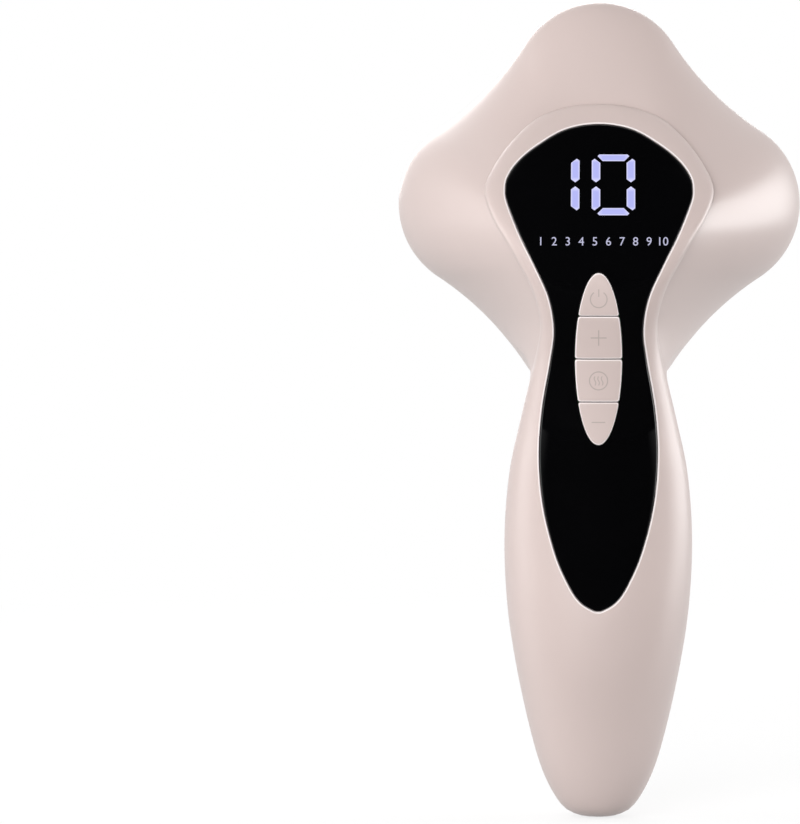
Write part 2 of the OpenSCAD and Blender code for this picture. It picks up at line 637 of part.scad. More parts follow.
module minus_key() key(3);
module power_plunger() plunger(0);
module plus_plunger() plunger(1);
module heat_plunger() plunger(2);
module minus_plunger() plunger(3);
module switch_bodies() {
    color(dark_grey)
    for (i = [0 : 3]) difference() {
        block(-3, 3, key_z(i) - 3, key_z(i) + 3, board_d + fit, board_d + fit + switch_t);
        post(0, key_z(i), switch_floor, board_d + 6, plunger_r + run_gap);
    }
}

// Steel discs and what lies behind them
film_t = 0.5;
module disc(k) {
    edge = 0.5;
    color(steel)
    translate([disc_spots[k][0], plate_y, disc_spots[k][1]]) rotate([90, 0, 0])
        rotate_extrude($fn = 96) polygon([[0, -disc_proud], [disc_r - edge, -disc_proud],
            [disc_r, -disc_proud + edge], [disc_r, -film_t], [stud_r, -film_t],
            [stud_r, plate_face + 4], [0, plate_face + 4]]);
}
module electrode_right() disc(0);
module electrode_top() disc(1);
module electrode_left() disc(2);
module electrode_bottom() disc(3);
module electrode_gaskets() {
    color(dark_grey)
    for (p = disc_spots) difference() {
        post(p[0], p[1], -film_t + 0.02, -0.02, disc_r - 0.2);
        post(p[0], p[1], -1, 1, disc_r - 1.8);
    }
}
module heater_films() {
    color(copper)
    for (p = disc_spots) difference() {
        post(p[0], p[1], -film_t + 0.03, -0.03, disc_r - 2.1);
        post(p[0], p[1], -1, 1, stud_r + 0.8);
    }
}
module contact_tags() {
    color(copper)
    for (k = [0 : 3]) translate([disc_spots[k][0], 0, disc_spots[k][1]]) difference() {
        union() {
            post(0, 0, plate_face + fit, plate_face + 0.5, 3);
            rotate([0, -90 * k, 0]) block(-7, -2, -1.2, 1.2, plate_face + fit, plate_face + 0.5);
        }
        post(0, 0, 0, plate_face + 1, stud_r + 0.1);
    }
}
module electrode_nuts() {
    color(steel)
    for (p = disc_spots) difference() {
        translate([p[0], at(plate_face + 0.5 + fit), p[1]]) rotate([90, 0, 0])
            cylinder(h = 2.4, r = 3.1, $fn = 6);
        post(p[0], p[1], 0, plate_face + 4, stud_r + 0.02);
    }
}
module led_windows() {
    color(lit_white)
    for (l = lamps) union() {
        slab(0.02, plate_face + 0.3) lamp_area(l, 0, lamp_clip);
        slab(plate_face + 0.1, plate_face + 0.8) lamp_area(l, 0.5, 0);
    }
}
module led_board() {
    color(board_green)
    difference() {
        slab(led_board_d + fit, led_board_d + board_t) head_area(wall + 5);
        for (p = disc_spots) post(p[0], p[1], 0, 20, 4);
        for (p = post_spots) post(p[0], p[1], 0, 20, screw_r + 0.2);
    }
}
module led_chips() {
    color(lit_red)
    for (l = lamps) slab(plate_face + 1.3, led_board_d) translate([l[0], l[1]]) rotate(l[2])
        square([1.4, 2.8], center = true);
}
module thermistor() {
    z = head_z - disc_offset + 6;
    color(dark_grey) block(5, 8, z, z + 1.6, plate_face + fit, plate_face + 1.4);
}

// Vibration motor on its cradle behind the lamp board
base_d = led_board_d + board_t + 4;
motor_d = base_d + 2 + motor_dia / 2 + 1.2;
motor_r = motor_dia / 2;
saddle_x0 = -10;
saddle_x1 = 2;
strap_x = -4;
motor_x1 = 6;
module motor_cradle() {
    color(dark_grey)
    difference() {
        union() {
            slab(base_d, base_d + 2) translate([-plate_post - 3, head_z - plate_post - 3])
                square(2 * (plate_post + 3));
            for (p = post_spots) post(p[0], p[1], led_board_d + board_t + fit, base_d + 1, 2.8);
            block(saddle_x0, saddle_x1, head_z - motor_r - 6, head_z + motor_r + 6, base_d + 1, motor_d);
        }
        across(saddle_x0 - 1, saddle_x1 + 1, motor_d, head_z, motor_r + fit);
        for (p = post_spots) post(p[0], p[1], 0, base_d + 3, screw_r + 0.2);
        for (s = [-1, 1]) post(strap_x, head_z + s * (motor_r + 3.5), motor_d - 5, motor_d + 1, screw_r - 0.1);
    }
}
strap_t = 1;
module motor_strap() {
    color(steel)
    difference() {
        union() {
            intersection() {
                across(strap_x - 4, strap_x + 4, motor_d, head_z, motor_r + fit + strap_t);
                block(-9, 1, head_z - 20, head_z + 20, motor_d + fit, motor_d + 20);
            }
            block(strap_x - 4, strap_x + 4, head_z - motor_r - 6, head_z + motor_r + 6,
                motor_d + fit, motor_d + fit + strap_t);
        }
        across(-9, 1, motor_d, head_z, motor_r + fit);
        for (s = [-1, 1]) post(strap_x, head_z + s * (motor_r + 3.5), motor_d - 1, motor_d + 3, screw_r + 0.2);
    }
}
module motor_can() {
    color(steel)
    difference() {
        union() {
            across(motor_x1 - motor_l, motor_x1, motor_d, head_z, motor_r);
            across(motor_x1 - 1, motor_x1 + 1.6, motor_d, head_z, 2.6);
        }
        across(motor_x1 - 8, motor_x1 + 3, motor_d, head_z, shaft_r + run_gap);
    }
}
weight_r = 5.6;
module motor_shaft() {
    color(steel) across(motor_x1 - 7.5, motor_x1 + 10.5, motor_d, head_z, shaft_r);
}
module eccentric_weight() {
    color(dark_grey)
    difference() {
        intersection() {
            across(motor_x1 + 2.4, motor_x1 + 9.4, motor_d, head_z, weight_r);
            translate([0, at(motor_d + 1.9), head_z - 10]) cube([30, 20, 20]);
        }
        across(motor_x1, motor_x1 + 12, motor_d, head_z, shaft_r + 0.01);
    }
}

// A pan head screw along Y, its head in front of the seat or behind it and its shank set into the head
screw_head_r = 1.9;
screw_head_h = 1.1;
module screw(x, z, seat, tip, r) {
    s = tip > seat ? 1 : -1;
    post(x, z, min(seat - s * 0.5, tip), max(seat - s * 0.5, tip), r);
    post(x, z, min(seat, seat - s * screw_head_h), max(seat, seat - s * screw_head_h), screw_head_r);
}
module cradle_screws() {
    color(steel) for (p = post_spots) screw(p[0], p[1], base_d + 2.02, 2.2, screw_r - 0.12);
}
module strap_screws() {
    color(steel) for (s = [-1, 1])
        screw(strap_x, head_z + s * (motor_r + 3.5), motor_d + strap_t + 0.07, motor_d - 4, screw_r - 0.12);
}
module board_screws() {
    color(steel) for (p = board_posts)
        screw(p[0], p[1], board_d - board_t - 0.02, board_d + 4.4, screw_r - 0.02);
}
module hood_screws() {
    color(steel) for (s = [-1, 1]) screw(s * tab_x, head_z, tab_d - tab_t - 0.02, tab_d + 4.4, screw_r - 0.02);
}
head_seat = under_skin(grip_boss_x, grip_boss_z) + 0.3;
module housing_screws() {
    color(steel) for (s = [-1, 1])
        screw(s * grip_boss_x, grip_boss_z, head_seat + 0.02, boss_foot + 3, screw_r - 0.02);
}

// Main board with what stands on it
module main_board() {
    color(board_green)
    difference() {
        block(-board_x, board_x, board_z0, board_top, board_d - board_t, board_d);
        for (p = board_posts) post(p[0], p[1], 0, 70, screw_r + 0.2);
    }
}
board_under = board_d - board_t - fit;
module controller_chip() {
    color(dark_grey) block(-3.5, 3.5, board_z0 + 14, board_z0 + 21, board_under - 1, board_under);
}
module pulse_transformer() {
    color(dark_grey)
    union() {
        block(-5, 5, board_z0 + 38, board_z0 + 40, board_under - 8, board_under);
        block(-5, 5, board_z0 + 46, board_z0 + 48, board_under - 8, board_under);
        translate([0, at(board_under - 4), board_z0 + 39]) cylinder(h = 8, r = 3.6);
    }
}
module capacitors() {
    color(cell_blue)
    for (x = [-1, 1]) post(x * 5, board_z0 + 53, board_under - 7, board_under, 3);
}
module display_module() {
    color(dark_grey)
    on_slope() translate([-show_w / 2, panel_t + 1.4, -show_l / 2]) cube([show_w, 6, show_l]);
}
digit_w = 11.6;
stroke = 2.2;
module bar(x, z, l, tall) {
    cut = stroke / 2;
    h = l / 2;
    translate([x, z]) rotate(tall ? 90 : 0)
        polygon([[-h, 0], [-h + cut, cut], [h - cut, cut], [h, 0], [h - cut, -cut], [-h + cut, -cut]]);
}
module digit_segments() {
    h = show_l * 0.94;
    color(lit_white)
    on_slope() translate([0, panel_t + 1.35, 0]) rotate([90, 0, 0]) linear_extrude(0.4) {
        for (s = [-1, 1]) {
            bar(-6.3, s * (h / 4 - 0.3), h / 2 - 2.4, true);
            bar(3.8 - digit_w / 2 + 1.1, s * (h / 4 - 0.3), h / 2 - 2.4, true);
            bar(3.8 + digit_w / 2 - 1.1, s * (h / 4 - 0.3), h / 2 - 2.4, true);
            bar(3.8, s * (h / 2 - 1.2), digit_w - 3, false);
        }
    }
}

// Battery in the grip and charging port at its end
module battery_cell() {
    color(cell_blue)
    union() {
        translate([0, at(cell_d), cell_z0]) cylinder(h = cell_l - 1, r = cell_r);
        translate([0, at(cell_d), cell_z0 + cell_l - 2]) cylinder(h = 2, r = 3);
    }
}
module battery_pads() {
    color(dark_grey)
    for (z = [cell_z0 + 20, cell_z0 + 44])
        block(-3, 3, z - 4, z + 4, cell_d + cell_r + 0.05, under_skin(3, z) - 1);
}
module battery_board() {
    color(board_green) block(-6, 6, cell_z0 + cell_l + 0.1, cell_z0 + cell_l + 1.1, cell_d - 6, cell_d + 6);
}
port_z0 = 0.9;
port_l = 7.4;
module charge_port() {
    color(steel)
    difference() {
        translate([0, at(port_d), port_z0]) linear_extrude(port_l) port_area(0);
        translate([0, at(port_d), port_z0 - 1]) linear_extrude(port_l) port_area(-0.3);
    }
}
module port_tongue() {
    color(gloss_black) block(-3.3, 3.3, port_z0 + 1, port_z0 + port_l - 1.02, port_d - 0.35, port_d + 0.35);
}
module charge_board() {
    d = port_d + port_h / 2;
    color(board_green) block(-5.5, 5.5, port_z0 + 3.6, cell_z0 - 3, d + fit, d + 1.2);
}

head_shell();
rear_housing();
grip_shell();
treatment_plate();
display_panel();
power_key();
plus_key();
heat_key();
minus_key();
power_plunger();
plus_plunger();
heat_plunger();
minus_plunger();
switch_bodies();
electrode_top();
electrode_right();
electrode_bottom();
electrode_left();
electrode_gaskets();
heater_films();
electrode_nuts();
contact_tags();
led_windows();
led_board();
led_chips();
thermistor();
motor_cradle();
motor_strap();
motor_can();
motor_shaft();
eccentric_weight();
cradle_screws();
strap_screws();
main_board();
controller_chip();
pulse_transformer();
capacitors();
board_screws();
display_module();
digit_segments();
battery_cell();
battery_pads();
battery_board();
charge_port();
port_tongue();
charge_board();
housing_screws();
hood_screws();
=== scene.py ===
# %% [markdown]
# A hand-held body massager, dressed for its portrait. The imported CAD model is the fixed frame:
# it says where everything is and how it moves. This notebook gives each piece that shows a finer
# form and a finish. Lengths in the helpers are millimetres, and the meshes end up in metres.

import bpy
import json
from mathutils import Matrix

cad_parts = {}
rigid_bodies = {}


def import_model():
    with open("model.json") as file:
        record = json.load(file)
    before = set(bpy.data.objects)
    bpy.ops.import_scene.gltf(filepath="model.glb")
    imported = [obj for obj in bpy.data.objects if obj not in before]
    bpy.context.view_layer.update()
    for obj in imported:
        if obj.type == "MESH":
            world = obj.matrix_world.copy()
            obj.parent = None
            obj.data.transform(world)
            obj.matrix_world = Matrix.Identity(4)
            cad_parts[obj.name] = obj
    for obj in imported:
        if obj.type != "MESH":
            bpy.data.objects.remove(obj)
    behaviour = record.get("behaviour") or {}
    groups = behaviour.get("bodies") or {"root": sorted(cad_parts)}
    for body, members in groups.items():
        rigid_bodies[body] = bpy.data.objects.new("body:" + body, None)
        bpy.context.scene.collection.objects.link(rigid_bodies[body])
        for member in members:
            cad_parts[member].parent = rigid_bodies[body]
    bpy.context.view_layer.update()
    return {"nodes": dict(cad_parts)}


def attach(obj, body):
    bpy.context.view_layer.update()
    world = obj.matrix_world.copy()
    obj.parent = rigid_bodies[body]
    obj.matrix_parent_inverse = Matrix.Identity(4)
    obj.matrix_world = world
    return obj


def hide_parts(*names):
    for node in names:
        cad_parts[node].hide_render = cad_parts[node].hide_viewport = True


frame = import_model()

import json
import math
from bisect import bisect_right

import bpy
from mathutils import Matrix, Vector

MM = 0.001
nodes = frame["nodes"]

# %% [markdown]
# The camera stands where the photographer stood for the view of the display: straight in front of
# it, a little above, far away with a long lens. In the photograph the massager stands right of the
# middle, so the camera looks past it on the left instead of using shift.

# %% The camera
PX_PER_MM, PIXELS, FILM = 3.727, 824, 36
FAR, LIFT = 1.6, math.radians(3.65)
PLATE_Y = 33.4
FOCUS_Y, FOCUS_Z, ASIDE_PX = PLATE_Y - 50, 109.2, 198.5
aim = Vector((-ASIDE_PX / PX_PER_MM, FOCUS_Y, FOCUS_Z)) * MM
stand = Vector((0, FOCUS_Y * MM - FAR * math.cos(LIFT), FOCUS_Z * MM + FAR * math.sin(LIFT)))
lens = bpy.data.cameras.new("camera")
lens.lens = PX_PER_MM * FAR / MM * FILM / PIXELS
camera = bpy.data.objects.new("camera", lens)
camera.location = stand
camera.rotation_euler = (aim - stand).to_track_quat("-Z", "Y").to_euler()
bpy.context.scene.collection.objects.link(camera)
bpy.context.scene.camera = camera
print("lens", round(lens.lens, 1), "mm")

# %% [markdown]
# Hand work in Blender is: select, edit, finish. These few helpers do the parts that every piece
# shares, so that each cell below can be about its own shape. Everything is deselected first,
# because an operator acts on all that is selected.

# %% Small helpers for hand work
def drop_selection():
    bpy.ops.object.select_all(action="DESELECT")
    bpy.context.view_layer.objects.active = None


def take(piece):
    drop_selection()
    piece.select_set(True)
    bpy.context.view_layer.objects.active = piece
    return piece


def edit(piece, mode="VERT"):
    take(piece)
    bpy.ops.object.mode_set(mode="EDIT")
    bpy.ops.mesh.select_mode(type=mode)
    bpy.ops.mesh.select_all(action="SELECT")


def done():
    bpy.ops.object.mode_set(mode="OBJECT")


def named(name):
    """The object that an operator has just made, under its name."""
    piece = bpy.context.object
    piece.name = piece.data.name = name
    return piece


def faces_outwards():
    """In edit mode, as the last thing there: every face of a closed shape looks outwards."""
    bpy.ops.mesh.select_all(action="SELECT")
    bpy.ops.mesh.normals_make_consistent(inside=False)
    done()


def pull_out(x, y, z):
    """In edit mode: extrudes the selected faces by so many mm, which makes a closed shape."""
    bpy.ops.mesh.extrude_region_move(
        TRANSFORM_OT_translate={"value": (x * MM, y * MM, z * MM)})
    faces_outwards()


def turn_over(piece):
    edit(piece)
    bpy.ops.mesh.flip_normals()
    done()


def look_along_y(piece, way):
    """The faces of an open sheet look towards +Y, way 1, or -Y, way -1."""
    if way * sum(p.normal.y * p.area for p in piece.data.polygons) < 0:
        turn_over(piece)


def pick(piece, test, kind="vertices"):
    """In edit mode: selects the vertices or edges for which test(centre, item) holds."""
    done()
    mesh = piece.data
    for group in (mesh.vertices, mesh.edges, mesh.polygons):
        group.foreach_set("select", [False] * len(group))
    for item in getattr(mesh, kind):
        if kind == "vertices":
            centre = item.co
        else:
            a, b = item.vertices
            centre = (mesh.vertices[a].co + mesh.vertices[b].co) / 2
        if test(centre / MM, item):
            item.select = True
    bpy.ops.object.mode_set(mode="EDIT")


def apply_modifier(piece, kind, **settings):
    take(piece)
    modifier = piece.modifiers.new(kind, kind)
    for key, value in settings.items():
        setattr(modifier, key, value)
    bpy.ops.object.modifier_apply(modifier=modifier.name)
    return piece


def soften(piece, width, segments=2, angle=35):
    return apply_modifier(piece, "BEVEL", width=width * MM, segments=segments,
                          limit_method="ANGLE", angle_limit=math.radians(angle),
                          harden_normals=False)


def smooth_shade(piece, angle=32):
    take(piece)
    bpy.ops.object.shade_smooth_by_angle(angle=math.radians(angle))
    return piece


# %% [markdown]
# The body is one flowing form: a hood at the top, a waist, and a spindle for the hand. It is known
# by its stations, each with a half width, a height, the depth of the seam, the depth of the
# display side's crown, and the bulge of the electrode side. Depths count back from the black
# plate. A smooth curve runs through the stations, as through the frames of a boat.

# %% The form of the body, from its stations
HEAD_Z = 164.0
# Half width, height, depth of the seam, depth of the crown, electrode side's bulge, squareness
STATIONS = [
    (0.0, 191.5, 29.0, 30.6, 0.4, 2.8),
    (8.6, 190.7, 29.5, 32.0, 0.4, 2.8),
    (16.6, 187.8, 32.0, 34.9, 0.5, 2.8),
    (22.9, 182.3, 36.5, 40.5, 0.6, 2.8),
    (27.6, 176.1, 41.9, 47.0, 0.8, 2.8),
    (30.7, 169.0, 48.4, 54.9, 1.0, 2.8),
    (28.6, 161.9, 55.9, 61.9, 1.5, 2.8),
    (24.9, 155.8, 61.1, 66.6, 2.5, 2.8),
    (21.2, 149.4, 63.5, 68.8, 4.0, 2.8),
    (17.9, 143.0, 63.9, 69.4, 6.5, 2.8),
    (16.0, 136.6, 62.5, 68.8, 9.5, 2.7),
    (15.7, 131.0, 59.9, 67.6, 11.5, 2.5),
    (17.3, 122.6, 55.5, 66.0, 12.5, 2.3),
    (21.0, 106.9, 51.2, 64.9, 11.9, 2.1),
    (23.9, 93.0, 49.4, 65.5, 13.8, 2.1),
    (25.2, 75.9, 48.4, 67.2, 18.1, 2.1),
    (24.5, 58.1, 48.0, 69.1, 21.1, 2.1),
    (22.2, 42.0, 48.0, 68.9, 20.9, 2.1),
    (18.6, 25.1, 48.0, 65.5, 17.9, 2.1),
    (14.9, 12.5, 48.0, 61.9, 14.3, 2.1),
    (10.3, 3.9, 48.0, 57.7, 9.9, 2.1),
    (6.0, 0.8, 48.0, 53.7, 5.7, 2.1),
    (0.0, 0.0, 48.0, 48.0, 0.0, 2.1),
]


def mix(a, b, t):
    return a + (b - a) * t


def smooth_path(points, steps):
    """A smooth curve through the points, whose two ends lie on the body's middle plane."""
    def flip(p):
        return (-p[0],) + tuple(p[1:])
    line = [flip(points[1])] + list(points) + [flip(points[-2])]
    out = []
    for i in range(len(points) - 1):
        a, b, c, d = line[i:i + 4]
        for k in range(steps):
            t = k / steps
            out.append(tuple(0.5 * (2 * q + (r - p) * t + (2 * p - 5 * q + 4 * r - s) * t * t
                                    + (3 * q - p - 3 * r + s) * t ** 3)
                             for p, q, r, s in zip(a, b, c, d)))
    return out + [tuple(points[-1])]


class Table:
    """Values along a curve, looked up by a rising key."""

    def __init__(self, keys, rows):
        pairs = sorted(zip(keys, rows))
        self.keys = [p[0] for p in pairs]
        self.rows = [p[1] for p in pairs]

    def __call__(self, key):
        if key <= self.keys[0]:
            return self.rows[0]
        if key >= self.keys[-1]:
            return self.rows[-1]
        i = bisect_right(self.keys, key)
        t = (key - self.keys[i - 1]) / (self.keys[i] - self.keys[i - 1])
        return tuple(mix(a, b, t) for a, b in zip(self.rows[i - 1], self.rows[i]))


def along(points, length=3):
    """Running length of a curve from 0 to 1, on its first values."""
    total, out = 0.0, [0.0]
    for a, b in zip(points, points[1:]):
        total += math.dist(a[:length], b[:length])
        out.append(total)
    return [v / total for v in out]


body_line = smooth_path(STATIONS, 24)
body_runs = along(body_line)
by_run = Table(body_runs, body_line)
by_height = Table([p[1] for p in body_line],
                  [p + (run,) for p, run in zip(body_line, body_runs)])


def swell(x, half, power):
    """Share of the full bulge at x: 1 in the middle, 0 at the seam."""
    return max(0.0, 1 - min(1.0, abs(x) / max(half, 1e-6)) ** power) ** (1 / power)


def crown_depth(x, z):
    """Depth of the display side's surface at a place."""
    half, _, seam, crown, _, power, _ = by_height(z)
    return mix(seam, crown, swell(x, half, power))


def at(depth):
    """A depth behind the black plate, as a place on Y."""
    return PLATE_Y - depth


print("hood", round(2 * max(p[0] for p in body_line), 1), "mm wide; grip at z 76",
      round(2 * by_height(76)[0], 1), "mm")

# %% [markdown]
# The black panel's outline has its own few stations on the same form: a broad top in the hood, a
# waist, a second belly on the grip, and a tip. The keys fill an oval in its middle.

# %% Outlines of the panel and of the key oval
PANEL_STATIONS = [
    (0.0, 186.1), (8.8, 184.7), (16.5, 180.4), (21.6, 176.2), (24.4, 172.1), (24.9, 168.9),
    (24.4, 165.8), (21.0, 157.5), (16.8, 149.1), (13.1, 140.7), (11.7, 132.0), (12.7, 123.5),
    (14.9, 110.7), (15.7, 98.0), (14.6, 85.2), (11.4, 72.6), (7.7, 64.2), (4.8, 60.0),
    (1.6, 57.9), (0.0, 57.5),
]
panel_line = smooth_path(PANEL_STATIONS, 24)
panel_runs = along(panel_line, 2)
panel_by_run = Table(panel_runs, panel_line)
KEY_TOP = 147.4
KEY_L, KEY_W = 46.0, 12.5
KEY_MID = KEY_TOP - KEY_L / 2


def key_half(z):
    """Half width of the keys' oval at a height."""
    s = (z - KEY_MID) / (KEY_L / 2)
    return KEY_W / 2 * math.sqrt(max(0.0, 1 - s * s))


print("panel", round(panel_line[0][1] - panel_line[-1][1], 1), "mm long")

# %% [markdown]
# A grid primitive is a sheet of cloth. Each of its rows is laid along a line of the form, so that
# the faces flow with the shape, which is what keeps a moulded surface free of dents. A sheet that
# goes all the way round is sewn where its two edges meet, and Solidify gives it a wall.

# %% Laying a grid over the form
WELD = 0.000002


def lay(name, rows, inside=None, closed=True):
    """A sheet through rows of points in mm. Its faces look away from the inside, where given."""
    wide, down = len(rows[0]) - (0 if closed else 1), len(rows) - 1
    drop_selection()
    bpy.ops.mesh.primitive_grid_add(x_subdivisions=wide, y_subdivisions=down, size=2)
    piece = named(name)
    for v in piece.data.vertices:
        i, k = round((v.co.x + 1) / 2 * wide), round((v.co.y + 1) / 2 * down)
        v.co = Vector(rows[k][i % len(rows[0])]) * MM
    edit(piece)
    bpy.ops.mesh.remove_doubles(threshold=WELD)
    faces_outwards()
    if inside:
        centre = Vector(inside) * MM
        faces = piece.data.polygons
        if sum((p.center - centre).dot(p.normal) * p.area for p in faces) < 0:
            turn_over(piece)
    return piece


def second_slot(piece, first, last, count):
    """Faces between two rows of a sheet of count rows get a second material. The grid's own map
    tells each face's row."""
    for _ in range(2):
        piece.data.materials.append(None)
    marks = piece.data.uv_layers.active.data
    for face in piece.data.polygons:
        up = sum(marks[i].uv.y for i in face.loop_indices) / len(face.loop_indices)
        if first < up * (count - 1) < last:
            face.material_index = 1


def give_wall(piece, thickness):
    return apply_modifier(piece, "SOLIDIFY", thickness=thickness * MM, offset=-1.0,
                          use_rim=True)


def hand_over(piece, body, slot, *replaced):
    """The finished piece rides on its body and stands for CAD nodes. Its slot is not used."""
    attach(piece, body)
    if replaced:
        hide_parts(*replaced)
    size = " x ".join(str(round(v / MM, 1)) for v in piece.dimensions)
    print(piece.name, len(piece.data.polygons), "faces,", size, "mm")
    return piece


# %% [markdown]
# Rings lead from one outline to the next: from the oval of the keys out to the panel's edge, and
# from there to the edge of the moulding. Every ring has the same number of points. Two lists of
# heights say which places of two outlines belong together, so that the lines between them run
# square to the edges. The points stand closer towards the tip, which bends the most.

# %% Outlines as rings of equal length
AROUND, CROWDING = 320, 1.35
# A height on the panel's outline with its height on the body's, or its angle on the oval
BODY_PAIRS = [
    (186.1, 191.5), (183.9, 190.1), (180.4, 186.9), (176.2, 181.5), (172.1, 175.2),
    (168.9, 169.6), (165.8, 165.5), (157.5, 157.0), (149.1, 149.2), (140.7, 140.9),
    (132.0, 131.6), (123.5, 121.9), (110.7, 107.0), (98.0, 91.0), (85.2, 73.0), (72.6, 50.0),
    (64.2, 29.0), (60.0, 14.0), (57.9, 3.0), (57.5, 0.0),
]
OVAL_PAIRS = [
    (186.1, 90), (180.4, 77), (172.1, 62), (165.8, 52), (157.5, 42), (149.1, 33), (140.7, 25),
    (132.0, 12), (123.5, -2), (110.7, -20), (98.0, -35), (85.2, -50), (72.6, -64), (64.2, -75),
    (60.0, -82), (57.5, -90),
]
panel_run_of = Table([p[1] for p in panel_line], [(run,) for run in panel_runs])
body_run_of = Table([p[1] for p in body_line], [(run,) for run in body_runs])
to_body = Table([panel_run_of(a)[0] for a, b in BODY_PAIRS],
                [body_run_of(b) for a, b in BODY_PAIRS])
to_oval = Table([panel_run_of(a)[0] for a, b in OVAL_PAIRS], [(b,) for a, b in OVAL_PAIRS])
steps = [(2 * i / AROUND, 1) if 2 * i <= AROUND else (2 - 2 * i / AROUND, -1)
         for i in range(AROUND)]
shares = [(1 - (1 - t) ** CROWDING, side) for t, side in steps]


def mirrored(line, run):
    """A place on an outline whose run may go past an end, over to the other side."""
    if 0 <= run <= 1:
        return line(run)[:2]
    x, z = line(-run if run < 0 else 2 - run)[:2]
    return -x, z


def grown(line, run, amount, step=0.002):
    """A place on an outline, moved square to it by amount."""
    x, z = line(run)[:2]
    (ax, az), (bx, bz) = mirrored(line, run - step), mirrored(line, run + step)
    dx, dz = bx - ax, bz - az
    size = math.hypot(dx, dz)
    return x - dz / size * amount, z + dx / size * amount


def panel_ring(amount):
    places = [(side, grown(panel_by_run, share, amount)) for share, side in shares]
    return [(side * max(0.0, x), z) for side, (x, z) in places]


def oval_ring(amount):
    turns = [(side, math.radians(to_oval(share)[0])) for share, side in shares]
    half_w, half_l = KEY_W / 2 + amount, KEY_L / 2 + amount
    return [(side * half_w * math.cos(t), KEY_MID + half_l * math.sin(t)) for side, t in turns]


def on_form(ring, drop=0.0):
    """A ring laid on the display side, or sunk into it by drop."""
    return [(x, at(crown_depth(x, z) - drop), z) for x, z in ring]


def between(a, b, t):
    return [(mix(p[0], q[0], t), mix(p[1], q[1], t)) for p, q in zip(a, b)]


def rounding(radius, steps):
    """How far in from an edge and how far down its rounded rim lies, from the face to the side."""
    turns = [math.pi / 2 * k / steps for k in range(steps + 1)]
    return [(radius * (1 - math.sin(t)), radius * (1 - math.cos(t))) for t in turns]


print("outline rings of", AROUND, "points")

# %% [markdown]
# The display half of the body is a satin moulding with a pocket for the black panel. The pocket's
# lip is rounded, and that small round carries the thin line of light which frames the panel: it
# catches some light, and a paler colour on it is a painted highlight. A boolean would cut the
# pocket through the faces of the form and leave ragged triangles at the lip. Rings that follow the
# pocket's outline keep the lip even all the way. The inside has rings of its own, since a wall
# from Solidify would come out through the lip's round.

# %% The back cover with its pocket
GAP, LIP, PANEL_T, SEAT, WALL, DEEP, HOLE = 0.15, 0.45, 1.6, 0.15, 2.4, 3.2, 1.6
OUT_ROWS, LIP_ROWS, FLOOR_ROWS, IN_ROWS = 32, 4, 10, 16
STEEP, ROUNDING = 14, 0.45


def from_seam(ring, start, drop=0.0):
    """A ring on the form, or sunk by drop, that near the seam rises steeply from its start."""
    row = []
    for (x, z), (sx, sz, seam) in zip(ring, start):
        brim = seam + STEEP * math.hypot(x - sx, z - sz) ** ROUNDING
        row.append((x, at(min(crown_depth(x, z) - drop, brim)), z))
    return row


edge, inner = [], []
for share, side in shares:
    run = to_body(share)[0]
    half, z, seam = by_run(run)[:3]
    edge.append((side * half, z, seam))
    half, z = grown(by_run, run, -WALL)
    inner.append((side * max(0.0, half), z, seam))
brink, hole = panel_ring(GAP + LIP), oval_ring(HOLE)
rows = [[(x, at(seam), z) for x, z, seam in edge]]
rows += [from_seam(between(edge, brink, (k / OUT_ROWS) ** 3), edge)
         for k in range(1, OUT_ROWS + 1)]
rows += [on_form(panel_ring(GAP + inset), drop) for inset, drop in rounding(LIP, LIP_ROWS)[1:]]
rows += [on_form(between(panel_ring(GAP), hole, k / FLOOR_ROWS), PANEL_T + SEAT)
         for k in range(FLOOR_ROWS + 1)]
rows += [from_seam(between(inner, hole, (k / IN_ROWS) ** 2), inner, DEEP)
         for k in range(IN_ROWS, -1, -1)]
rows.append(rows[0])
back_cover = lay("back_cover", rows)
# The lip's rows get the second material, whose paler colour is a painted highlight line.
second_slot(back_cover, OUT_ROWS, OUT_ROWS + LIP_ROWS, len(rows))

# %% [markdown]
# The electrode half of the handle is a plain trough that ends in a rounded tip. Its rows run
# across, from seam to seam, and they close up towards the tip, where the form bends fastest.

# %% The grip cover
NECK_Z, JOINT = 112.0, 0.06
GRIP_ROWS, GRIP_ACROSS, TIP_CROWDING = 80, 64, 1.6
top_run = body_run_of(NECK_Z - JOINT)[0]
angles = [math.radians(mix(-90, 90, j / GRIP_ACROSS)) for j in range(GRIP_ACROSS + 1)]
rows = []
for k in range(GRIP_ROWS + 1):
    run = mix(top_run, 1, 1 - (1 - k / GRIP_ROWS) ** TIP_CROWDING)
    half, z, seam, _, front, _ = by_run(run)
    rows.append([(half * math.sin(a), at(seam - JOINT - front * math.cos(a)), z) for a in angles])
grip_cover = lay("grip_cover", rows, (0, at(50), 60), closed=False)
give_wall(grip_cover, WALL)

# %% [markdown]
# The socket opens in the tip, half in each cover. It is punched through both at once with a
# rounded slot, as the mould's core would leave it. The slot is a circle pulled long: a ring of
# points whose right half moves right and whose left half moves left, extruded upwards.

# %% The slot for the socket
SLOT_W, SLOT_T, SLOT_DEPTH, SLOT_Z0, SLOT_Z1 = 9.7, 4.0, 48, -2, 11
MOULDED = 38


def cut(piece, core):
    return apply_modifier(piece, "BOOLEAN", operation="DIFFERENCE", object=core, solver="EXACT")


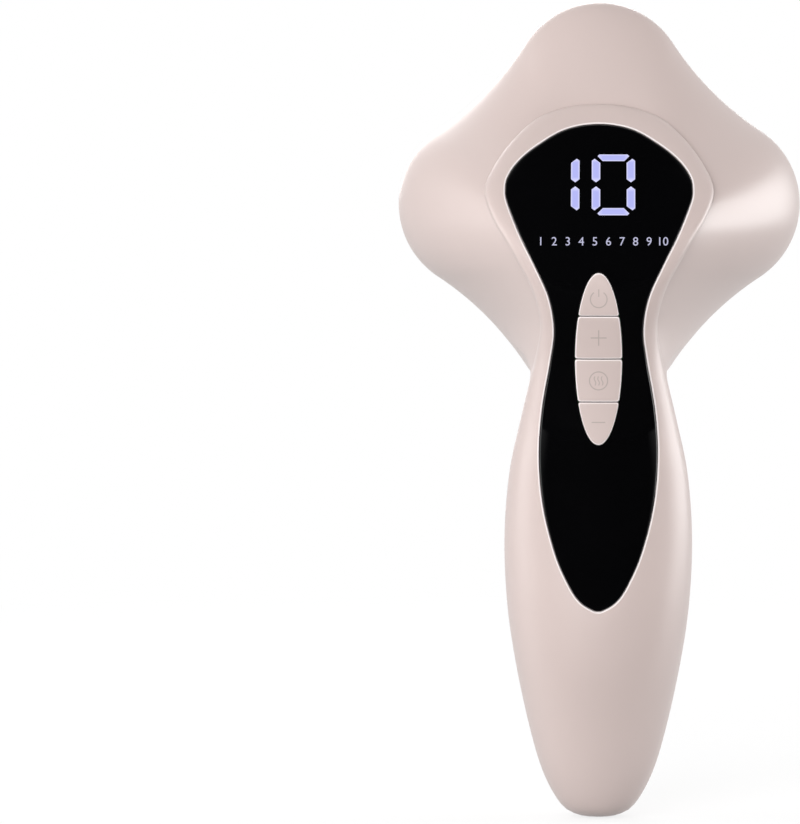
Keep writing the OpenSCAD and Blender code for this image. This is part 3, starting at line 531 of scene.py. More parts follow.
drop_selection()
bpy.ops.mesh.primitive_circle_add(vertices=48, radius=SLOT_T / 2 * MM, fill_type="NGON",
                                  location=(0, at(SLOT_DEPTH) * MM, SLOT_Z0 * MM))
core = named("slot_core")
bpy.ops.object.transform_apply(location=True, rotation=True, scale=True)
pull = (SLOT_W - SLOT_T) / 2 * MM
for v in core.data.vertices:
    if abs(v.co.x) > WELD / 2:
        v.co.x += math.copysign(pull, v.co.x)
edit(core, "FACE")
pull_out(0, 0, SLOT_Z1 - SLOT_Z0)
for piece, cad_node in ((back_cover, "rear_housing"), (grip_cover, "grip_shell")):
    cut(piece, core)
    smooth_shade(piece, MOULDED)
    hand_over(piece, "body", "housing", cad_node)
bpy.data.objects.remove(core)

# %% [markdown]
# The head is a dome between two lines: the four-lobed rim of the black plate in front, and behind
# it the foot of the hood, which at the neck turns across the handle. Each rib of the sheet leaves
# the rim straight back and then bends in. Under the chin a rib sweeps down again and ends in the
# handle's own direction, so that the head flows into it, and round the corner that sweep dies out
# over a few ribs.

# %% The head's dome
LOBE_R, LOBE_OFF, FLANK_R, FULL = 24.0, 31.0, 83.0, 0.3
RIM_D, RIM_H, RIDGE, RIDGE_RISE, SWEEP = 5.2, 3.5, 1.4, 19, 12.0
NECK_RIBS, SIDE_RIBS, RIB_STEPS, NECK_TURN = 20, 56, 32, 82
SWEEP_LOSS, SIDE_SWEEP, CORNER_STEP, FADE_RATE, FADE_END = 0.3, 0.85, 2, 14, 3
flank_off = (LOBE_OFF + math.sqrt(2 * (LOBE_R + FLANK_R) ** 2 - LOBE_OFF ** 2)) / 2
share = LOBE_R / (LOBE_R + FLANK_R)
lobe_angle = math.degrees(math.atan2(share * flank_off, LOBE_OFF + share * (flank_off - LOBE_OFF)))


def head_radius(angle):
    """Radius of the four-lobed outline: an arc round the lobe, or the hollow arc of the flank."""
    a = abs((angle + 405) % 90 - 45)
    t = math.radians(a)
    if a <= lobe_angle:
        return LOBE_OFF * math.cos(t) + math.sqrt(LOBE_R ** 2 - (LOBE_OFF * math.sin(t)) ** 2)
    return (flank_off * (math.cos(t) + math.sin(t))
            - math.sqrt(FLANK_R ** 2 - (flank_off * (math.cos(t) - math.sin(t))) ** 2))


def on_head(angle, inset=0.0):
    r, t = head_radius(angle) - inset, math.radians(angle)
    return r * math.cos(t), HEAD_Z + r * math.sin(t)


neck_half, _, neck_seam, _, neck_front, _, neck_run = by_height(NECK_Z)
head_run = body_run_of(HEAD_Z)[0]
neck_angle = math.degrees(math.atan2(NECK_Z - HEAD_Z, neck_half))
above = by_height(NECK_Z + 5)
lean_half, lean_seam, lean_front = [(above[i] - by_height(NECK_Z)[i]) / 5 for i in (0, 2, 4)]


def neck_point(t):
    """On the neck's front half: across, depth and height, from the middle, 0, to its side, 1."""
    a = math.radians(NECK_TURN * t)
    return neck_half * math.sin(a), neck_seam - JOINT - neck_front * math.cos(a), NECK_Z


def ridge_point(run):
    """On the hood's foot, a ridge's height inside its edge; the ridge rises from nothing."""
    step = RIDGE * max(0.0, min(1.0, (by_run(run)[1] - NECK_Z) / RIDGE_RISE))
    x, z = grown(by_run, run, -step)
    return (x if run > 0 else 0.0), by_run(run)[2] - JOINT, z


def plain_share(k):
    """How far a rib above the neck's corner goes straight to its end: from none at 0 to all."""
    t = min(1.0, k / FADE_END)
    return t * t * (3 - 2 * t)


# Each rib: angle on the head's outline, place on the rim, height of the sweep, plain share
ribs = []
for t in [k / NECK_RIBS for k in range(NECK_RIBS + 1)]:
    ribs.append((mix(-90, neck_angle - CORNER_STEP, t), neck_point(t),
                 SWEEP * (1 - SWEEP_LOSS * t * t), 0.0))
for t in [k / SIDE_RIBS for k in range(SIDE_RIBS)]:
    ribs.append((mix(neck_angle, 0, t), ridge_point(mix(neck_run, head_run, t)),
                 SWEEP * SIDE_SWEEP, plain_share(FADE_RATE * t)))
for t in [k / SIDE_RIBS for k in range(SIDE_RIBS + 1)]:
    ribs.append((mix(0, 90, t), ridge_point(mix(head_run, 0, t)), 0.0, 1.0))


def rib_point(rib, t):
    """A place on a rib's curve, from the plate's rim at 0 to hood or neck at 1."""
    angle, (qx, qd, qz), sweep, plain = rib
    x, z = on_head(angle)
    if t < 0:
        return x, at(RIM_D), z
    p, q = Vector((x, RIM_D + RIM_H, z)), Vector((qx, qd, qz))
    c = Vector((x, mix(p.y, qd, FULL), z))
    front = max(0.0, min(1.0, (neck_seam - JOINT - qd) / neck_front))
    along_grip = Vector((lean_half * qx / neck_half, lean_seam - lean_front * front, 1))
    e = q + along_grip * sweep * (1 - plain) + (c - q) * (2 / 3) * plain
    s = 1 - t
    point = p * s ** 3 + (p + (c - p) * (2 / 3)) * 3 * s * s * t + e * 3 * s * t * t + q * t ** 3
    return point.x, at(point.y), point.z


rows = []
for k in range(-1, RIB_STEPS + 1):
    right = [rib_point(rib, k / RIB_STEPS) for rib in ribs]
    right[0] = (0.0,) + right[0][1:]
    right[-1] = (0.0,) + right[-1][1:]
    rows.append(right + [(-x, y, z) for x, y, z in reversed(right[1:-1])])
head_dome = lay("head_dome", rows, (0, at(30), HEAD_Z))
give_wall(head_dome, WALL)
smooth_shade(head_dome, MOULDED)
hand_over(head_dome, "body", "housing", "head_shell")

# %% [markdown]
# The display panel lies flush in the pocket. It is one glossy black moulding with an oval opening
# for the keys, rounded a little at both edges. Its sheet goes once over the top, down the walls
# and back underneath, so it closes on itself.

# %% The display panel
KEY_GAP, ROUND, MOUTH_ROUND = 0.22, 0.3, 0.15
TOP_ROWS, ROUND_ROWS, UNDER_ROWS = 36, 3, 8
outline, mouth = panel_ring(-ROUND), oval_ring(KEY_GAP + MOUTH_ROUND)
rows = [on_form(panel_ring(0), PANEL_T)]
rows += [on_form(panel_ring(-inset), drop)
         for inset, drop in reversed(rounding(ROUND, ROUND_ROWS))]
rows += [on_form(between(outline, mouth, k / TOP_ROWS)) for k in range(1, TOP_ROWS + 1)]
rows += [on_form(oval_ring(KEY_GAP + inset), drop)
         for inset, drop in rounding(MOUTH_ROUND, ROUND_ROWS)[1:]]
rows += [on_form(between(oval_ring(KEY_GAP), panel_ring(0), k / UNDER_ROWS), PANEL_T)
         for k in range(UNDER_ROWS + 1)]
front_panel = lay("front_panel", rows)
smooth_shade(front_panel, MOULDED)
hand_over(front_panel, "body", "gloss_black", "display_panel")

# %% [markdown]
# Four keys share the oval. Each one's outline is walked once: down one side of the oval, along the
# split, up the other side and back. Taking the mean over a short stretch of that walk rounds the
# corners. The cap is a fan of rings from the middle to a rounded edge and then down the side.

# %% The four keys
KEY_PROUD, KEY_ROUND, KEY_DEEP, KEY_CORNER, KEY_TIP = 0.35, 0.3, 3.0, 0.55, 0.02
KEY_AROUND, SIDE_STEPS, SPLIT_STEPS, NEAR, FAN_ROWS, RIM_ROWS = 120, 300, 200, 4, 8, 4
STEP = KEY_L / 4


def key_outline(i):
    """The outline of a key, its corners rounded by a mean over a short stretch of the walk."""
    high = KEY_TOP - STEP * i - (KEY_TIP if i == 0 else KEY_GAP / 2)
    low = KEY_TOP - STEP * (i + 1) + (KEY_TIP if i == 3 else KEY_GAP / 2)
    walk = [mix(high, low, 0.5 - 0.5 * math.cos(math.pi * k / SIDE_STEPS))
            for k in range(SIDE_STEPS + 1)]
    side = [(key_half(z), z) for z in walk]
    over = [k / SPLIT_STEPS for k in range(1, SPLIT_STEPS)]
    bottom = [(mix(side[-1][0], -side[-1][0], t), low) for t in over]
    top = [(mix(-side[0][0], side[0][0], t), high) for t in over]
    line = side + bottom + [(-x, z) for x, z in reversed(side)] + top
    loop = line + line[:1]
    dense = Table(along(loop, 2), loop)
    reach = KEY_CORNER / sum(math.dist(a, b) for a, b in zip(loop, loop[1:]))
    out = []
    for k in range(KEY_AROUND):
        near = [dense((k / KEY_AROUND + reach * j / NEAR) % 1.0) for j in range(-NEAR, NEAR + 1)]
        out.append(tuple(sum(values) / len(near) for values in zip(*near)))
    return out


def key_cap(name, i):
    line = key_outline(i)
    middle = sum(z for x, z in line) / len(line)
    reach = min(STEP, KEY_W) / 2

    def ring(inset, drop):
        t = inset / reach
        return on_form([(mix(x, 0.0, t), mix(z, middle, t)) for x, z in line], drop - KEY_PROUD)

    rows = [ring(reach * (1 - k / (FAN_ROWS + 1)), 0) for k in range(FAN_ROWS)]
    rows += [ring(inset, drop) for inset, drop in rounding(KEY_ROUND, RIM_ROWS)]
    rows += [ring(0, KEY_DEEP), ring(reach * 0.5, KEY_DEEP), ring(reach, KEY_DEEP)]
    cap = lay(name, rows)
    # The rounded edge's rows get the second material, whose paler colour is a painted highlight
    # line.
    second_slot(cap, FAN_ROWS, FAN_ROWS + RIM_ROWS, len(rows))
    return cap


for i, word in enumerate(("power", "plus", "heat", "minus")):
    cap = smooth_shade(key_cap("cap_" + word, i), 40)
    hand_over(cap, word + "_key_set", "housing", word + "_key")

# %% [markdown]
# The black plate is a flat moulding with the head's four-lobed outline. It starts as a circle,
# whose points are pushed out to the outline, is extruded by the plate's thickness, and gets its
# rounded front edge from one bevel. The openings for the light windows are cut afterwards: on a
# flat face a boolean leaves no dents.

# %% The treatment plate
LAMP_L, LAMP_W, LAMP_CLIP = 4.1, 1.6, 0.55
LAMP_ARMS, LAMP_RING, LAMP_TURNS = (13.3, 28.3), 20.3, (-85.2, -21.3, 21.3, 85.2)
DISC_R, DISC_OFF, DISC_GAP, RING_H, RING_W = 16.4, 28.3, 0.2, 1.6, 1.3
PLATE_T, PLATE_INSET, PLATE_ROUND = RIM_D - 0.02, 0.25, 1.8


def swung(x, z, radius, angle):
    """The place at a radius and an angle from x, z."""
    t = math.radians(angle)
    return x + radius * math.cos(t), z + radius * math.sin(t)


disc_spots = [swung(0.0, HEAD_Z, DISC_OFF, 90 * k) for k in range(4)]
lamps = [(0.0, HEAD_Z, 135.0)]
for angle in (45, 135, 225, 315):
    lamps += [swung(0.0, HEAD_Z, arm, angle) + (angle,) for arm in LAMP_ARMS]
for k, (x, z) in enumerate(disc_spots):
    lamps += [swung(x, z, LAMP_RING, 90 * k + turn) + (90 * k + turn,) for turn in LAMP_TURNS]

drop_selection()
bpy.ops.mesh.primitive_circle_add(vertices=AROUND, radius=0.05, fill_type="NGON")
face_plate = named("face_plate")
for v in face_plate.data.vertices:
    x, z = on_head(math.degrees(math.atan2(v.co.y, v.co.x)), PLATE_INSET)
    v.co = Vector((x, at(PLATE_T), z)) * MM
edit(face_plate, "FACE")
pull_out(0, PLATE_T, 0)
pick(face_plate, lambda c, e: c.y > at(0.01), "edges")
bpy.ops.mesh.select_mode(type="EDGE")
bpy.ops.mesh.bevel(offset=PLATE_ROUND * MM, segments=10, profile=0.5, affect="EDGES")
done()


def window_blank(name, grow, start, end):
    """A lamp window at the origin, between two depths: its long side along X, its clipped side
    up."""
    drop_selection()
    bpy.ops.mesh.primitive_plane_add(size=1)
    blank = named(name)
    wide, tall = LAMP_L + 2 * grow, LAMP_W + 2 * grow
    for v in blank.data.vertices:
        v.co = Vector((v.co.x * wide, at(start), v.co.y * tall)) * MM
    pick(blank, lambda c, v: c.z > 0)
    bpy.ops.mesh.select_mode(type="VERT")
    bpy.ops.mesh.bevel(offset=LAMP_CLIP * MM, affect="VERTICES")
    bpy.ops.mesh.select_all(action="SELECT")
    pull_out(0, start - end, 0)
    return blank


def put_on_plate(piece, spot):
    x, z, angle = spot
    turn = Matrix.Rotation(-math.radians(angle - 90), 4, "Y")
    piece.data.transform(Matrix.Translation(Vector((x, 0, z)) * MM) @ turn)
    return piece


def copy_of(piece, name):
    take(piece)
    bpy.ops.object.duplicate(linked=False)
    return named(name)


def merged(name, pieces):
    take(pieces[0])
    for piece in pieces[1:]:
        piece.select_set(True)
    if len(pieces) > 1:
        bpy.ops.object.join()
    return named(name)


def at_each_lamp(piece, name):
    """A copy of the piece at the place of each lamp. The piece itself goes."""
    copies = [put_on_plate(copy_of(piece, "%s_%02d" % (name, i + 1)), spot)
              for i, spot in enumerate(lamps)]
    bpy.data.objects.remove(piece)
    return copies


punch = window_blank("punch", grow=0.07, start=3, end=-1)
punches = merged("punches", at_each_lamp(punch, "punch"))
cut(face_plate, punches)
bpy.data.objects.remove(punches)
print("plate with", len(lamps), "lamp openings")

# %% [markdown]
# A black collar stands round each steel disc. Collars and discs are turned parts, so both come
# from Spin: half a section is drawn, and Blender turns it once round the disc's axis. Spin can
# turn a shape inside out, so its doubles are merged and its faces made to look outwards.

# %% Turned pieces: collars and discs
def turned(name, section, spot, steps=144, open_at_axis=False):
    """Turns a section of (radius, depth) points round the axis through spot, parallel to Y."""
    drop_selection()
    bpy.ops.mesh.primitive_circle_add(vertices=len(section), radius=0.01, fill_type="NOTHING")
    piece = named(name)
    x, z = spot
    for v, (r, d) in zip(piece.data.vertices, section):
        v.co = Vector((x + r, at(d), z)) * MM
    if open_at_axis:
        last = len(section) - 1
        pick(piece, lambda c, e: set(e.vertices) == {0, last}, "edges")
        bpy.ops.mesh.select_mode(type="EDGE")
        bpy.ops.mesh.delete(type="EDGE")
        done()
    edit(piece)
    bpy.ops.mesh.spin(steps=steps, angle=math.tau, center=(x * MM, 0, z * MM), axis=(0, 1, 0))
    bpy.ops.mesh.select_all(action="SELECT")
    bpy.ops.mesh.remove_doubles(threshold=2 * WELD)
    faces_outwards()
    return piece


def rounded(points, radius, steps=4):
    """The section, its corners rounded in small steps where radius isn't 0."""
    out = []
    for i, (p, r) in enumerate(zip(points, radius)):
        if r <= 0:
            out.append(p)
            continue
        a, b = Vector(points[i - 1]), Vector(points[(i + 1) % len(points)])
        c = Vector(p)
        u, v = (a - c).normalized() * r, (b - c).normalized() * r
        for k in range(steps + 1):
            t = k / steps
            q = (c + u) * (1 - t) ** 2 + c * 2 * t * (1 - t) + (c + v) * t * t
            out.append((q.x, q.y))
    return out


r0, r1 = DISC_R + DISC_GAP, DISC_R + DISC_GAP + RING_W
collar = rounded([(r0, 0.3), (r0, -RING_H), (r1, -RING_H), (r1, 0.3)], (0, 0.25, 0.4, 0))
collars = [turned("collar_%d" % k, collar, spot) for k, spot in enumerate(disc_spots)]
face_plate = merged("face_plate", [face_plate] + collars)
smooth_shade(face_plate, 30)
hand_over(face_plate, "body", "gloss_black", "treatment_plate")

PROUD, EDGE, BACK, STUD_R, STUD_END, MAP_R = -2.6, 0.5, -0.5, 1.5, 7.0, 20
disc = rounded([(0.0, PROUD), (DISC_R - EDGE, PROUD), (DISC_R, PROUD + EDGE), (DISC_R, BACK),
                (STUD_R, BACK), (STUD_R, STUD_END), (0.0, STUD_END)],
               (0, 0.12, 0.12, 0.1, 0, 0.2, 0), 3)
discs = {}
for word, spot in zip(("right", "top", "left", "bottom"), disc_spots):
    piece = turned("disc_" + word, disc, spot, 160, True)
    rings = piece.data.uv_layers.active or piece.data.uv_layers.new(name="UVMap")
    for loop in piece.data.loops:
        v = piece.data.vertices[loop.vertex_index].co / MM
        dx, dz = v.x - spot[0], v.z - spot[1]
        turn = math.atan2(dz, dx) / math.tau
        rings.data[loop.index].uv = (math.hypot(dx, dz) / MAP_R, turn % 1.0)
    discs[word] = smooth_shade(piece, 25)
    hand_over(piece, "body", "disc_steel", "electrode_" + word)

# %% [markdown]
# The 25 light windows are one small clear block, copied. Each copy has its own mesh, with its
# place in it. Round each window the black plate glows red for a millimetre or so. That glow is a
# thin ring of plate surface laid over the plate, whose own map says how far from the window it is.

# %% Light windows and their red glow
window = soften(window_blank("window", grow=0.0, start=3.0, end=-0.06), width=0.08)
windows = at_each_lamp(window, "lamp_window")
for piece in windows:
    hand_over(smooth_shade(piece, 30), "body", "lit_white", "led_windows")


def glow_ring(name, corner=0.35, square=2.2, lift=0.012, count=48):
    """Rings round a window, ever wider: a rectangle whose corners have a radius that grows."""
    rows = []
    for wider in (0.0, 0.12, 0.3, 0.5, 0.75, 1.05, 1.4, 1.8):
        ring = []
        for j in range(count):
            c, s = math.cos(math.tau * j / count), math.sin(math.tau * j / count)
            x = (LAMP_L / 2 - corner) * max(-1, min(1, square * c)) + (corner + wider) * c
            z = (LAMP_W / 2 - corner) * max(-1, min(1, square * s)) + (corner + wider) * s
            ring.append((x, at(-lift), z))
        rows.append(ring)
    return lay(name, rows)


lamp_glow = merged("lamp_glow", at_each_lamp(glow_ring("glow"), "glow"))
lamp_glow.data.update()
look_along_y(lamp_glow, 1)
hand_over(lamp_glow, "body", "gloss_black")

# %% [markdown]
# The display shows its number through the black panel, and the light seems to sit in the glossy
# surface. So the lit bars are laid on the panel, a hair above it, and follow its curve. A bar is a
# narrow grid whose two ends run to a point, as in every segment display. Where two bars meet at a
# corner the point lies to the outer side, so that the cuts between them run aslant.

# %% The lit bars of the display
def bar(name, x0, z0, x1, z1, width, tips, slope, lift=0.02):
    """tips: how far left (1) or right (-1) of the middle each end's point lies; slope: of its
    cuts."""
    length = math.hypot(x1 - x0, z1 - z0)
    dx, dz = (x1 - x0) / length, (z1 - z0) / length
    cut_back = slope * width / 2
    ends = [cut_back * (1 + reach) for tip in tips for reach in (-abs(tip), abs(tip))]
    stops = sorted({0, ends[0], ends[1], length - ends[3], length - ends[2], length})
    stops = sorted(stops + [mix(ends[1], length - ends[3], k / 6) for k in range(1, 6)])
    rows = []
    for s in stops:
        first, last = s / cut_back, (length - s) / cut_back
        left = min(1, tips[0] + first, tips[1] + last) * width / 2
        right = max(-1, tips[0] - first, tips[1] - last) * width / 2
        row = []
        for j in range(5):
            side = mix(right, left, j / 4)
            x, z = x0 + dx * s - dz * side, z0 + dz * s + dx * side
            row.append((x, at(crown_depth(x, z) + lift), z))
        rows.append(row)
    return lay(name, rows, (0, at(20), 150), closed=False)


bars = []
for x, tip in ((-6.34, -0.35), (-0.8, 0.35), (8.52, -0.35)):
    bars.append(bar("bar", x, 163.7, x, 169.9, 2.25, (tip, 0), 0.72))
    bars.append(bar("bar", x, 170.95, x, 177.1, 2.25, (0, tip), 0.72))
bars.append(bar("bar", -0.4, 163.35, 8.07, 163.35, 1.85, (-0.5, -0.5), 1.05))
bars.append(bar("bar", -0.38, 177.35, 8.1, 177.35, 1.72, (0.5, 0.5), 1.05))
lit_number = hand_over(smooth_shade(merged("lit_number", bars), 60), "body", "lit_white")

# %% [markdown]
# Under the number stands a row of small lit figures, one for each level. A text object is typed,
# made a mesh, and each of its points is then set down on the panel's curved face.

# %% The row of level figures
ROW_X0, ROW_X1, ROW_Z = -15.4, 16.9, 154.6
FIGURE_H, FIGURE_SHARE, FIGURE_LIFT = 2.3, 0.73, 0.06


def figure(text, x, z, height):
    drop_selection()
    bpy.ops.object.text_add()
    label = bpy.context.object
    label.data.body = text
    label.data.align_x = "CENTER"
    label.data.resolution_u = 4
    label.data.size = height / FIGURE_SHARE * MM
    bpy.ops.object.convert(target="MESH")
    label = bpy.context.object
    for v in label.data.vertices:
        px, pz = x + v.co.x / MM, z + v.co.y / MM
        v.co = Vector((px, at(crown_depth(px, pz) + FIGURE_LIFT), pz)) * MM
    return label


figures = [figure(str(n), mix(ROW_X0, ROW_X1, (n - 1) / 9), ROW_Z, FIGURE_H)
           for n in range(1, 11)]
level_row = merged("level_row", figures)
edit(level_row, "FACE")
bpy.ops.mesh.remove_doubles(threshold=WELD)
faces_outwards()
look_along_y(level_row, -1)
hand_over(level_row, "body", "lit_white")

# %% [markdown]
# The keys are beige like the housing, and their marks are printed a little darker. They are thin
# strips laid on the caps: straight ones for plus and minus, bent ones for the power ring and the
# heat sign. They ride on their own key, so they go down with it.

# %% Marks on the keys
def strip(name, line, width=0.3, lift=KEY_PROUD + 0.015):
    rows = []
    for k, (x, z) in enumerate(line):
        ax, az = line[max(0, k - 1)]
        bx, bz = line[min(len(line) - 1, k + 1)]
        size = math.hypot(bx - ax, bz - az)
        nx, nz = -(bz - az) / size * width / 2, (bx - ax) / size * width / 2
        rows.append([(px, at(crown_depth(px, pz) + lift), pz)
                     for j in (-1, 0, 1) for px, pz in [(x + nx * j, z + nz * j)]])
    return lay(name, rows, (0, at(20), 124), closed=False)


def arc(cx, cz, radius, start, end, steps=40):
    return [swung(cx, cz, radius, mix(start, end, k / steps)) for k in range(steps + 1)]


def line_of(x0, z0, x1, z1, steps=8):
    return [(mix(x0, x1, k / steps), mix(z0, z1, k / steps)) for k in range(steps + 1)]


def wave(x, z, half=1.2, swing=0.22, steps=16):
    return [(x + swing * math.sin(math.tau * k / steps), mix(z - half, z + half, k / steps))
            for k in range(steps + 1)]


POWER_Z, PLUS_Z, HEAT_Z, MINUS_Z = 140.4, 130.1, 118.6, 107.5
marks = {
    "power": [strip("stroke", arc(0, POWER_Z, 2.2, 125, 415)),
              strip("stroke", line_of(0, POWER_Z + 0.7, 0, POWER_Z + 2.7))],
    "plus": [strip("stroke", line_of(-2.1, PLUS_Z, 2.1, PLUS_Z)),
             strip("stroke", line_of(0, PLUS_Z - 2.1, 0, PLUS_Z + 2.1))],
    "heat": [strip("stroke", arc(0, HEAT_Z, 2.4, 0, 360, 60))]
    + [strip("stroke", wave(x, HEAT_Z), 0.26) for x in (-0.95, 0, 0.95)],
    "minus": [strip("stroke", line_of(-1.8, MINUS_Z, 1.8, MINUS_Z))],
}
key_marks = {}
for word, strips in marks.items():
    mark = smooth_shade(merged("mark_" + word, strips), 60)
    key_marks[word] = hand_over(mark, word + "_key_set", "dark_plastic")

# %% [markdown]
# A finish is more than a colour. Each one below has a base tone that drifts a little, a roughness
# that drifts too, and a fine relief at the scale of the real surface. One helper wires these from
# noise on Object coordinates, which are the same in every view. Two smaller ones add a node and
# fill its sockets, so that a wire is written as one word.

# %% A helper for finishes
def fill(tree, node, *inputs, **named_inputs):
    """Each socket, by its order or its name, takes a value or another node's output."""
    named_inputs = {key.replace("_", " "): value for key, value in named_inputs.items()}
    for key, value in [*enumerate(inputs), *named_inputs.items()]:
        if isinstance(value, bpy.types.NodeSocket):
            tree.links.new(value, node.inputs[key])
        else:
            node.inputs[key].default_value = value
    return node


def add(tree, kind, *inputs, **more):
    """A new node. A keyword in small letters is one of its settings, and the rest are sockets."""
    node = tree.nodes.new("ShaderNode" + kind)
    for key in [key for key in more if key.islower()]:
        setattr(node, key, more.pop(key))
    return fill(tree, node, *inputs, **more)


def maths(tree, operation, *inputs):
    return add(tree, "Math", *inputs, operation=operation).outputs["Value"]


def spread_over(tree, value, from_min, from_max, to_min, to_max, **settings):
    return add(tree, "MapRange", Value=value, From_Min=from_min, From_Max=from_max,
               To_Min=to_min, To_Max=to_max, **settings).outputs["Result"]


def finish(name, colour, rough, metallic=0.0, drift=0.03, patch=12.0, grain=0.25, relief=0.004,
           spread=0.06, **fixed):
    """patch and grain are the sizes in mm of the tone's drift and of the relief; relief is its
    height; fixed holds other sockets of the shader."""
    material = bpy.data.materials.new(name)
    material.use_nodes = True
    tree = material.node_tree
    place = add(tree, "TexCoord").outputs["Object"]
    tone = add(tree, "TexNoise", Vector=place, Scale=1 / (patch * MM), Detail=3).outputs["Fac"]
    fine = add(tree, "TexNoise", Vector=place, Scale=1 / (grain * MM), Detail=2).outputs["Fac"]
    blend = add(tree, "Mix", data_type="RGBA", Factor=tone,
                A=[max(0.0, c * (1 - drift)) for c in colour] + [1],
                B=[min(1.0, c * (1 + drift)) for c in colour] + [1])
    bump = add(tree, "Bump", Height=fine, Distance=relief * MM, Strength=1.0)
    fill(tree, tree.nodes["Principled BSDF"], Base_Color=blend.outputs["Result"],
         Roughness=spread_over(tree, tone, 0.0, 1.0, max(0.0, rough - spread / 2),
                               min(1.0, rough + spread / 2)),
         Normal=bump.outputs["Normal"], Metallic=metallic, **fixed)
    return material


def dress(material, *pieces):
    for piece in pieces:
        if isinstance(piece, str):
            piece = nodes[piece]
        if not piece.material_slots:
            piece.data.materials.append(material)
        for place in piece.material_slots:
            place.material = material
    print(material.name, "on", len(pieces), "piece" + "s" * (len(pieces) > 1))


# %% [markdown]
# The housing is a satin pinkish beige plastic. Its mould was spark eroded, which leaves a grain
# about a fifth of a millimetre wide that one sees only as the softness of the light. The three
# covers share the finish, so they look like one body. The lip of the panel's pocket and the rounds
# of the keys are polished and painted paler, a painted highlight that draws the thin light line
# round them.

# %% Beige housing plastic
beige = finish("beige_plastic", (0.60, 0.495, 0.468), 0.38, drift=0.012, patch=30, grain=0.22,
               relief=0.002, spread=0.04, Specular_IOR_Level=0.9)
key_caps = [bpy.data.objects["cap_" + word] for word in marks]
dress(beige, head_dome, back_cover, grip_cover, *key_caps)
# Painted highlight: a paler colour on the pocket's lip and the keys' rounds draws the thin light
# line round them.
painted_lip_highlight = finish("polished_lip_painted_highlight", (0.86, 0.79, 0.78), 0.25, drift=0.01, patch=30, grain=0.3,
             relief=0.001, spread=0.03)
for piece in [back_cover] + key_caps:
    piece.material_slots[1].material = painted_lip_highlight

# %% [markdown]
# Panel and plate are polished black plastic. Polish is not perfect: there are faint waves
# from the mould and a trace of wiping, so the relief is wide and very low.

# %% Polished black plastic
BLACK = (0.0015, 0.0015, 0.0018)
POLISH = dict(rough=0.07, drift=0.2, patch=18, grain=9, relief=0.002, spread=0.03)
dress(finish("polished_black", BLACK, **POLISH, Specular_IOR_Level=0.3), front_panel, face_plate)
mark_grey = finish("mark_grey", (0.45, 0.38, 0.355), 0.5, drift=0.06, patch=2, grain=0.2,
                   relief=0.002)
dress(mark_grey, *key_marks.values())

# %% [markdown]
# The discs are stainless steel, turned and then polished. The tool leaves fine rings round the
# middle, which draw the light out into rays. The rings come from the disc's own map, where one
# axis is the distance from the middle. Two sines of different pitch keep them from looking ruled.

# %% Turned stainless steel
def own_map(tree):
    """The two axes of the piece's own map."""
    place = add(tree, "UVMap", uv_map="UVMap").outputs["UV"]
    return add(tree, "SeparateXYZ", Vector=place).outputs


def ring_steel(name):
    material = finish(name, (0.90, 0.90, 0.90), 0.13, metallic=1.0, drift=0.015, patch=8,
                      grain=0.4, relief=0.00005, spread=0.04)
    tree = material.node_tree
    grain = next(node for node in tree.nodes if node.type == "BUMP").outputs["Normal"]
    from_middle = own_map(tree)["X"]
    height = 0.0
    for pitch, share in ((0.42, 1.0), (0.9, 0.8), (3.1, 0.7)):
        wave = maths(tree, "SINE", maths(tree, "MULTIPLY", from_middle, MAP_R / pitch * math.tau))
        height = maths(tree, "MULTIPLY_ADD", wave, share, height)
    rings = add(tree, "Bump", Height=height, Distance=0.0005 * MM, Normal=grain)
    fill(tree, tree.nodes["Principled BSDF"], Normal=rings.outputs["Normal"])
    return material


dress(ring_steel("turned_steel"), *discs.values())

# %% [markdown]
# Light is an emission on top of the surface's own finish. The windows are white in the middle of
# their red light, so they get a white that is almost clipped. A bar of the number is brighter at
# its edges, which its own map tells from its middle. The glow round the windows fades from full
# red to nothing with the distance that the ring's map holds, and its base is the plate's black.

# %% Lit windows, glow and display bars
def lit(name, colour, strength, base=(0.8, 0.8, 0.85), rough=0.2):
    return finish(name, base, rough, drift=0.04, patch=3, grain=0.6, relief=0.001,
                  Emission_Color=[*colour, 1], Emission_Strength=strength)


def glow_by(material, value, *stops):
    """The emission's colour follows a value through a ramp with a colour at each stop."""
    tree = material.node_tree
    ramp = add(tree, "ValToRGB", Fac=value)
    elements = ramp.color_ramp.elements
    for stop, colour in stops[1:-1]:
        elements.new(stop).color = [*colour, 1]
    for element, (stop, colour) in ((elements[0], stops[0]), (elements[-1], stops[-1])):
        element.position, element.color = stop, [*colour, 1]
    fill(tree, tree.nodes["Principled BSDF"], Emission_Color=ramp.outputs["Color"])


dress(lit("lit_window", (1.0, 0.72, 0.70), 1.0), *windows)
dress(lit("lit_figure", (0.60, 0.60, 0.80), 0.8, base=(0.05, 0.05, 0.07)), level_row)

digit = lit("lit_digit", (0.5, 0.5, 1.0), 1.0, base=(0.05, 0.05, 0.07))
tree, place = digit.node_tree, own_map(digit.node_tree)
aside, up = [maths(tree, "ABSOLUTE", maths(tree, "MULTIPLY_ADD", place[axis], 2.0, -1.0))
             for axis in ("X", "Y")]
glow_by(digit, maths(tree, "MAXIMUM", aside, up), (0.6, (0.42, 0.44, 0.86)),
        (0.92, (0.68, 0.68, 0.95)))
dress(digit, lit_number)

halo = finish("plate_glow", BLACK, **POLISH, Specular_IOR_Level=0.4, Emission_Strength=1.0)
fade = [(stop, (level, level * 0.02, level * 0.012))
        for stop, level in ((0.3, 0.55), (0.6, 0.13), (0.85, 0.02))]
glow_by(halo, own_map(halo.node_tree)["Y"], (0.0, (1.0, 0.035, 0.02)), *fade, (1.0, (0, 0, 0)))
dress(halo, lamp_glow)

# %% [markdown]
# The rest sits inside and keeps its CAD shape. It still gets the finish of the real thing: green
# solder mask, zinc plated screws, dull sintered steel, foam pads and the sleeve of the cell.

